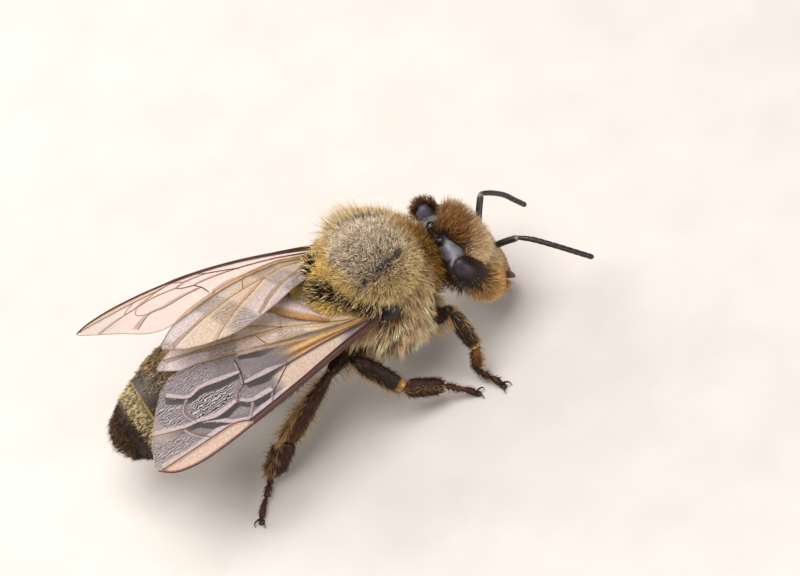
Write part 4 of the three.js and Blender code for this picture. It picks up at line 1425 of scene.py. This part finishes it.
for number, (name, side) in enumerate(SIDES.items()):
    coat(f"scutum_{name}", skin, 8500, thorax_part(
        lambda x, y, z: ramp(x, -1.35, -1.0) * ramp(z, 0.3, 0.5) * (y * side > 0)), 11 + number,
        length=lambda body: 0.2 + 0.42 * rim_share(body) * (1 - 0.6 * seam_share(body)),
        radius=lambda body: 0.017 - 0.003 * rim_share(body), stand=0.9, droop=0.1,
        clump=lambda body: 0.1 + 0.15 * rim_share(body), lock=4, tone=0.5, rings=2)
    coat(f"flank_{name}", skin, 6000, thorax_part(
        lambda x, y, z: (z <= 0.5) * (y * side > 0) * (1 - behind(x, y, z))), 21 + number,
        length=0.6, radius=0.017, stand=0.55, clump=0.6, lock=11, tone=0.55, jitter=0.36)
    coat(f"lock_{name}", skin, 1900, thorax_part(
        lambda x, y, z: (y * side > 1.0) * ramp(-z, 0.1, 0.4) * ramp(z, -1.6, -1.2) * ramp(x, -1.5, -1.0)
        * fall(x, 0.9, 1.4)), 61 + number, lock_tints,
        length=0.9, radius=0.02, stand=0.6, clump=0.85, lock=14, tone=0.7, jitter=0.3)
    coat(f"wisps_{name}", skin, 1800, thorax_part(
        lambda x, y, z: (y * side > 0) * scutum_rim(x, y) * ramp(z, -0.6, 0.0)), 81 + number,
        length=lambda body: (1.0 - 0.3 * ramp(body[:, 0], 0.5, 1.1)) * (1 - 0.6 * seam_share(body, 0.7)),
        radius=0.008, stand=0.85, droop=0.15, clump=0.15, tone=0.2, jitter=0.3)
    coat(f"groove_{name}", skin, 900,
         lambda body: beside(wavy(body), GROOVE, 0.12, 0.3) * (body[:, 1] * side > 0), 91 + number,
         lambda body: (GROOVE_PAINTED_SHADE, GROOVE_PAINTED_SHADE * 2.5), (0.45, (255, 214, 160)),
         length=0.56, radius=0.02, stand=0.9, droop=0.2, clump=0.75, lock=7, tone=0.6, jitter=0.3)
coat("rear", skin, 6200, thorax_part(behind), 16,
     length=lambda body: (0.4 + 0.28 * ramp(-body[:, 0], 0.95, 1.35)) * (1 - 0.4 * seam_share(body)),
     radius=0.0165, stand=0.7, droop=0.2, lock=6, tone=0.35, jitter=0.36)


def head_across(body):
    return np.abs(body_to_head(body)[:, 1])


def face_length(body):
    """Long hair over the brow, shorter down to the mouth."""
    down = ramp(-body_to_head(body)[:, 2], 1.4, 2.8)
    return (0.42 - 0.24 * down) * (1 - 0.6 * ramp(head_across(body), 0.75, 1.05))


coat("crown", skin, 6000, head_part(
    lambda x, y, z: (z > -1.0) * (x > -0.1) * (1 + 2.0 * ramp(np.abs(y), 0.6, 0.9))), 31, head_fur,
    length=lambda body: 0.7 - 0.32 * ramp(head_across(body), 0.8, 1.1),
    radius=0.014, stand=0.62, droop=0.12, lock=6)
coat("face", skin, 7500, head_part(lambda x, y, z: (z <= -0.8) * (x > -0.05) * (z > -3.25)), 32, head_fur,
     length=face_length, radius=0.0135, stand=0.75, jitter=0.45, rings=2)
coat("cheeks", skin, 3400, head_part(
    lambda x, y, z: (x <= 0.0) * (z > -3.2) * (1 - 0.5 * ramp(np.abs(y), 0.9, 1.2))), 33, head_fur,
    length=lambda body: 0.42 - 0.2 * ramp(head_across(body), 0.9, 1.2),
    radius=0.0155, stand=0.7, clump=0.35, lock=6, tone=0.35, rings=2)


def eye_hair_density(body):
    """Sparse over most of the eye; thick round its lower end, and on the left eye over its outer top."""
    x, y, z = body_to_head(body).T
    top = ramp(z, -0.66, -0.42) * np.maximum(ramp(y, 1.36, 1.52), ramp(x, 0.12, 0.22) * (y > 0))
    return 0.03 + 0.34 * ramp(-z, 1.0, 1.7) + 1.6 * top


def eye_hair_length(body):
    x, y, z = body_to_head(body).T
    return 0.1 + 0.3 * np.maximum(0.2 + 0.8 * ramp(-z, 1.1, 1.8), ramp(z, -0.66, -0.42) * (y > 0) * 0.9)


for number, name in enumerate(SIDES):
    coat(f"eye_{name}", eyes[name], 1500, eye_hair_density, 35 + number, eye_fur,
         length=eye_hair_length, radius=0.0075, stand=0.6, droop=0.05, clump=0.2, lock=4, tone=0.3, jitter=0.12)


def abdomen_share(body):
    return np.clip((AXIS_POINTS[0, 0] - body[:, 0]) / AXIS_SPAN, 0, 1)


def last_band(share):
    """The cream band of the fifth plate."""
    return ramp(share, 0.81, 0.82) * fall(share, 0.875, 0.895)


def bristles(body):
    """1 at the tip of the abdomen, where its hair stands up."""
    return ramp(abdomen_share(body), 0.92, 0.97)


def abdomen_fur(body):
    """Cream felt at the front of each plate, dark bristles behind, black-brown at the tip."""
    share = abdomen_share(body)
    band = last_band(share)
    after = ramp(share, 0.875, 0.9)
    root = paint((60, 42, 22), ((34, 22, 14), after), ((64, 44, 20), band))
    return root, paint((226, 190, 136), ((255, 230, 176), band), ((112, 80, 52), after),
                       ((96, 68, 44), ramp(share, 0.985, 1.0)))


def felt_density(body):
    """Thick in a band at the front of each plate, and over the last one."""
    share = abdomen_share(body)
    density = 0.45 + 0 * share
    for start, thick, reach in zip(SEGMENT_ENDS[1:-2], (0.8, 1.0, 2.0, 4.6), (0.05, 0.05, 0.11, 0.062)):
        fade = fall(share, start + reach, start + reach + 0.02)
        density += thick * ramp(share, start + 0.003, start + 0.01) * fade
    return density + 1.2 * ramp(share, 0.87, 0.9) + 2.2 * ramp(share, 0.925, 0.96) + 2.0 * fall(share, 0.05, 0.2)


for above, title, count in ((True, "back", 16000), (False, "belly", 4500)):
    coat(f"abdomen_{title}", abdomen_hair[above], count, felt_density, 41 + above, abdomen_fur,
         length=lambda body: 0.17 + 0.14 * bristles(body),
         radius=lambda body: 0.0145 - 0.005 * bristles(body) + 0.003 * last_band(abdomen_share(body)),
         stand=lambda body: 0.42 + 0.25 * bristles(body), droop=0.2, clump=0.35, tone=0.65, rings=2)

LEG_FUR = linear((66, 38, 20))
LOWEST_LEG_HAIR = 0.3
for number, (pair, side, form) in enumerate(leg_hair):
    coat(f"leg_{pair}_{side}", form, 2300, lambda body: body_to_row(body)[:, 2] > LOWEST_LEG_HAIR, 51 + number,
         lambda body: (LEG_FUR * 0.4, LEG_FUR), (0.2, (188, 126, 64)),
         length=0.15, radius=0.0075, stand=0.4, clump=0, wave=0.02, lock=9, tone=0.2, jitter=0.15, rings=2,
         slot="leg")

# Long sparse hairs of each leg: joint number in the form, way they face (ahead, outward, up), length, count.
LEG_FRINGES = {
    "fore": [(1, (-0.3, 0.4, -0.9), 0.62, 90), (2, (0.7, 0.5, 0.2), 0.2, 90), (3, (0.9, 0.5, 0.0), 0.3, 70)],
    "mid": [(1, (-0.5, 0.6, -0.6), 0.6, 110), (2, (-0.3, 0.8, -0.6), 0.36, 70), (3, (0.0, 0.8, 0.4), 0.1, 90)],
    "hind": [(1, (0.3, 0.7, -0.5), 0.6, 70), (2, (-0.95, 0.1, 0.3), 0.5, 360), (2, (0.8, 0.5, -0.3), 0.4, 70),
             (3, (-0.98, 0.1, 0.15), 0.24, 120)],
}
FEWEST_HAIRS = 8
for number, (pair, side, form) in enumerate(leg_hair):
    fringes = []
    for joint, way, length, count in LEG_FRINGES[pair]:
        out = unit(np.array(way) * (1, SIDES[side], 1))
        shell = Form()
        shell.parts.append(form.parts[joint])
        centre = form.parts[joint][0].mean(axis=0)
        axis = unit(form.parts[joint][3][0])

        def facing(places):
            away = places - centre
            away = unit(away - (away @ axis)[:, None] * axis)
            return np.clip(away @ out - 0.7, 0, 1)

        roots = scatter(shell, max(FEWEST_HAIRS, hairs(count)), facing, 71 + 10 * number + joint)
        roots["lie"] = np.broadcast_to(axis, roots["root"].shape)
        roots["length"] = np.full(len(roots["root"]), length)
        fringes.append(roots)
    merged = {key: np.concatenate([roots[key] for roots in fringes])
              for key in ("root", "normal", "lie", "unwrap", "length")}
    merged["rng"] = np.random.default_rng(171 + number)
    tints = (np.broadcast_to(linear(rgb), merged["root"].shape) for rgb in ((116, 78, 38), (226, 186, 126)))
    grow(f"fringe_{pair}_{side}", merged, *tints, length=merged["length"], radius=0.007, stand=0.8,
         droop=0.25, clump=0.1, wave=0.04, lock=9, tone=0.25, jitter=0.2, slot="leg")

# ---- floor and light

FLOOR_SIZE = 0.4
bpy.ops.mesh.primitive_plane_add(size=FLOOR_SIZE, location=(0, 0, 0))
floor = bpy.context.active_object
floor.name = "studio_floor"
paper = Shader("studio_paper", Roughness=0.75)
grain = paper.texture("ShaderNodeTexNoise", 0.4, Detail=3.0)
paper.set("Base Color", paper.colours(grain, 0.3, (196, 190, 186), 0.7, (203, 197, 193)))
floor.data.materials.append(paper.material)

LIGHT_AIM = np.array([0, 0, 3.0])
LIGHTS = {  # place and size in millimetres, power, colour
    "key": ((-8, -5, 90), 70, 0.11, (1.0, 0.97, 0.94)),
    "rim": ((-45, 65, 45), 50, 0.06, (1.0, 0.94, 0.86)),
    "fill": ((35, -85, 22), 60, 0.05, (1.0, 0.95, 0.9)),
}
for name, (place, size, power, colour) in LIGHTS.items():
    data = bpy.data.lights.new(name, "AREA")
    data.size = size * MM
    data.energy = power
    data.color = colour
    ahead = unit(LIGHT_AIM - place)
    side = unit(np.cross(ahead, (0, 0, 1.0)))
    set_in_scene(name, data, side, np.cross(side, ahead), -ahead, np.array(place, float))
world = bpy.data.worlds.new("studio")
world.use_nodes = True
background = world.node_tree.nodes["Background"]
background.inputs["Color"].default_value = (0.9, 0.88, 0.88, 1)
background.inputs["Strength"].default_value = 0.32
bpy.context.scene.world = world
bpy.context.scene.view_settings.view_transform = "Standard"
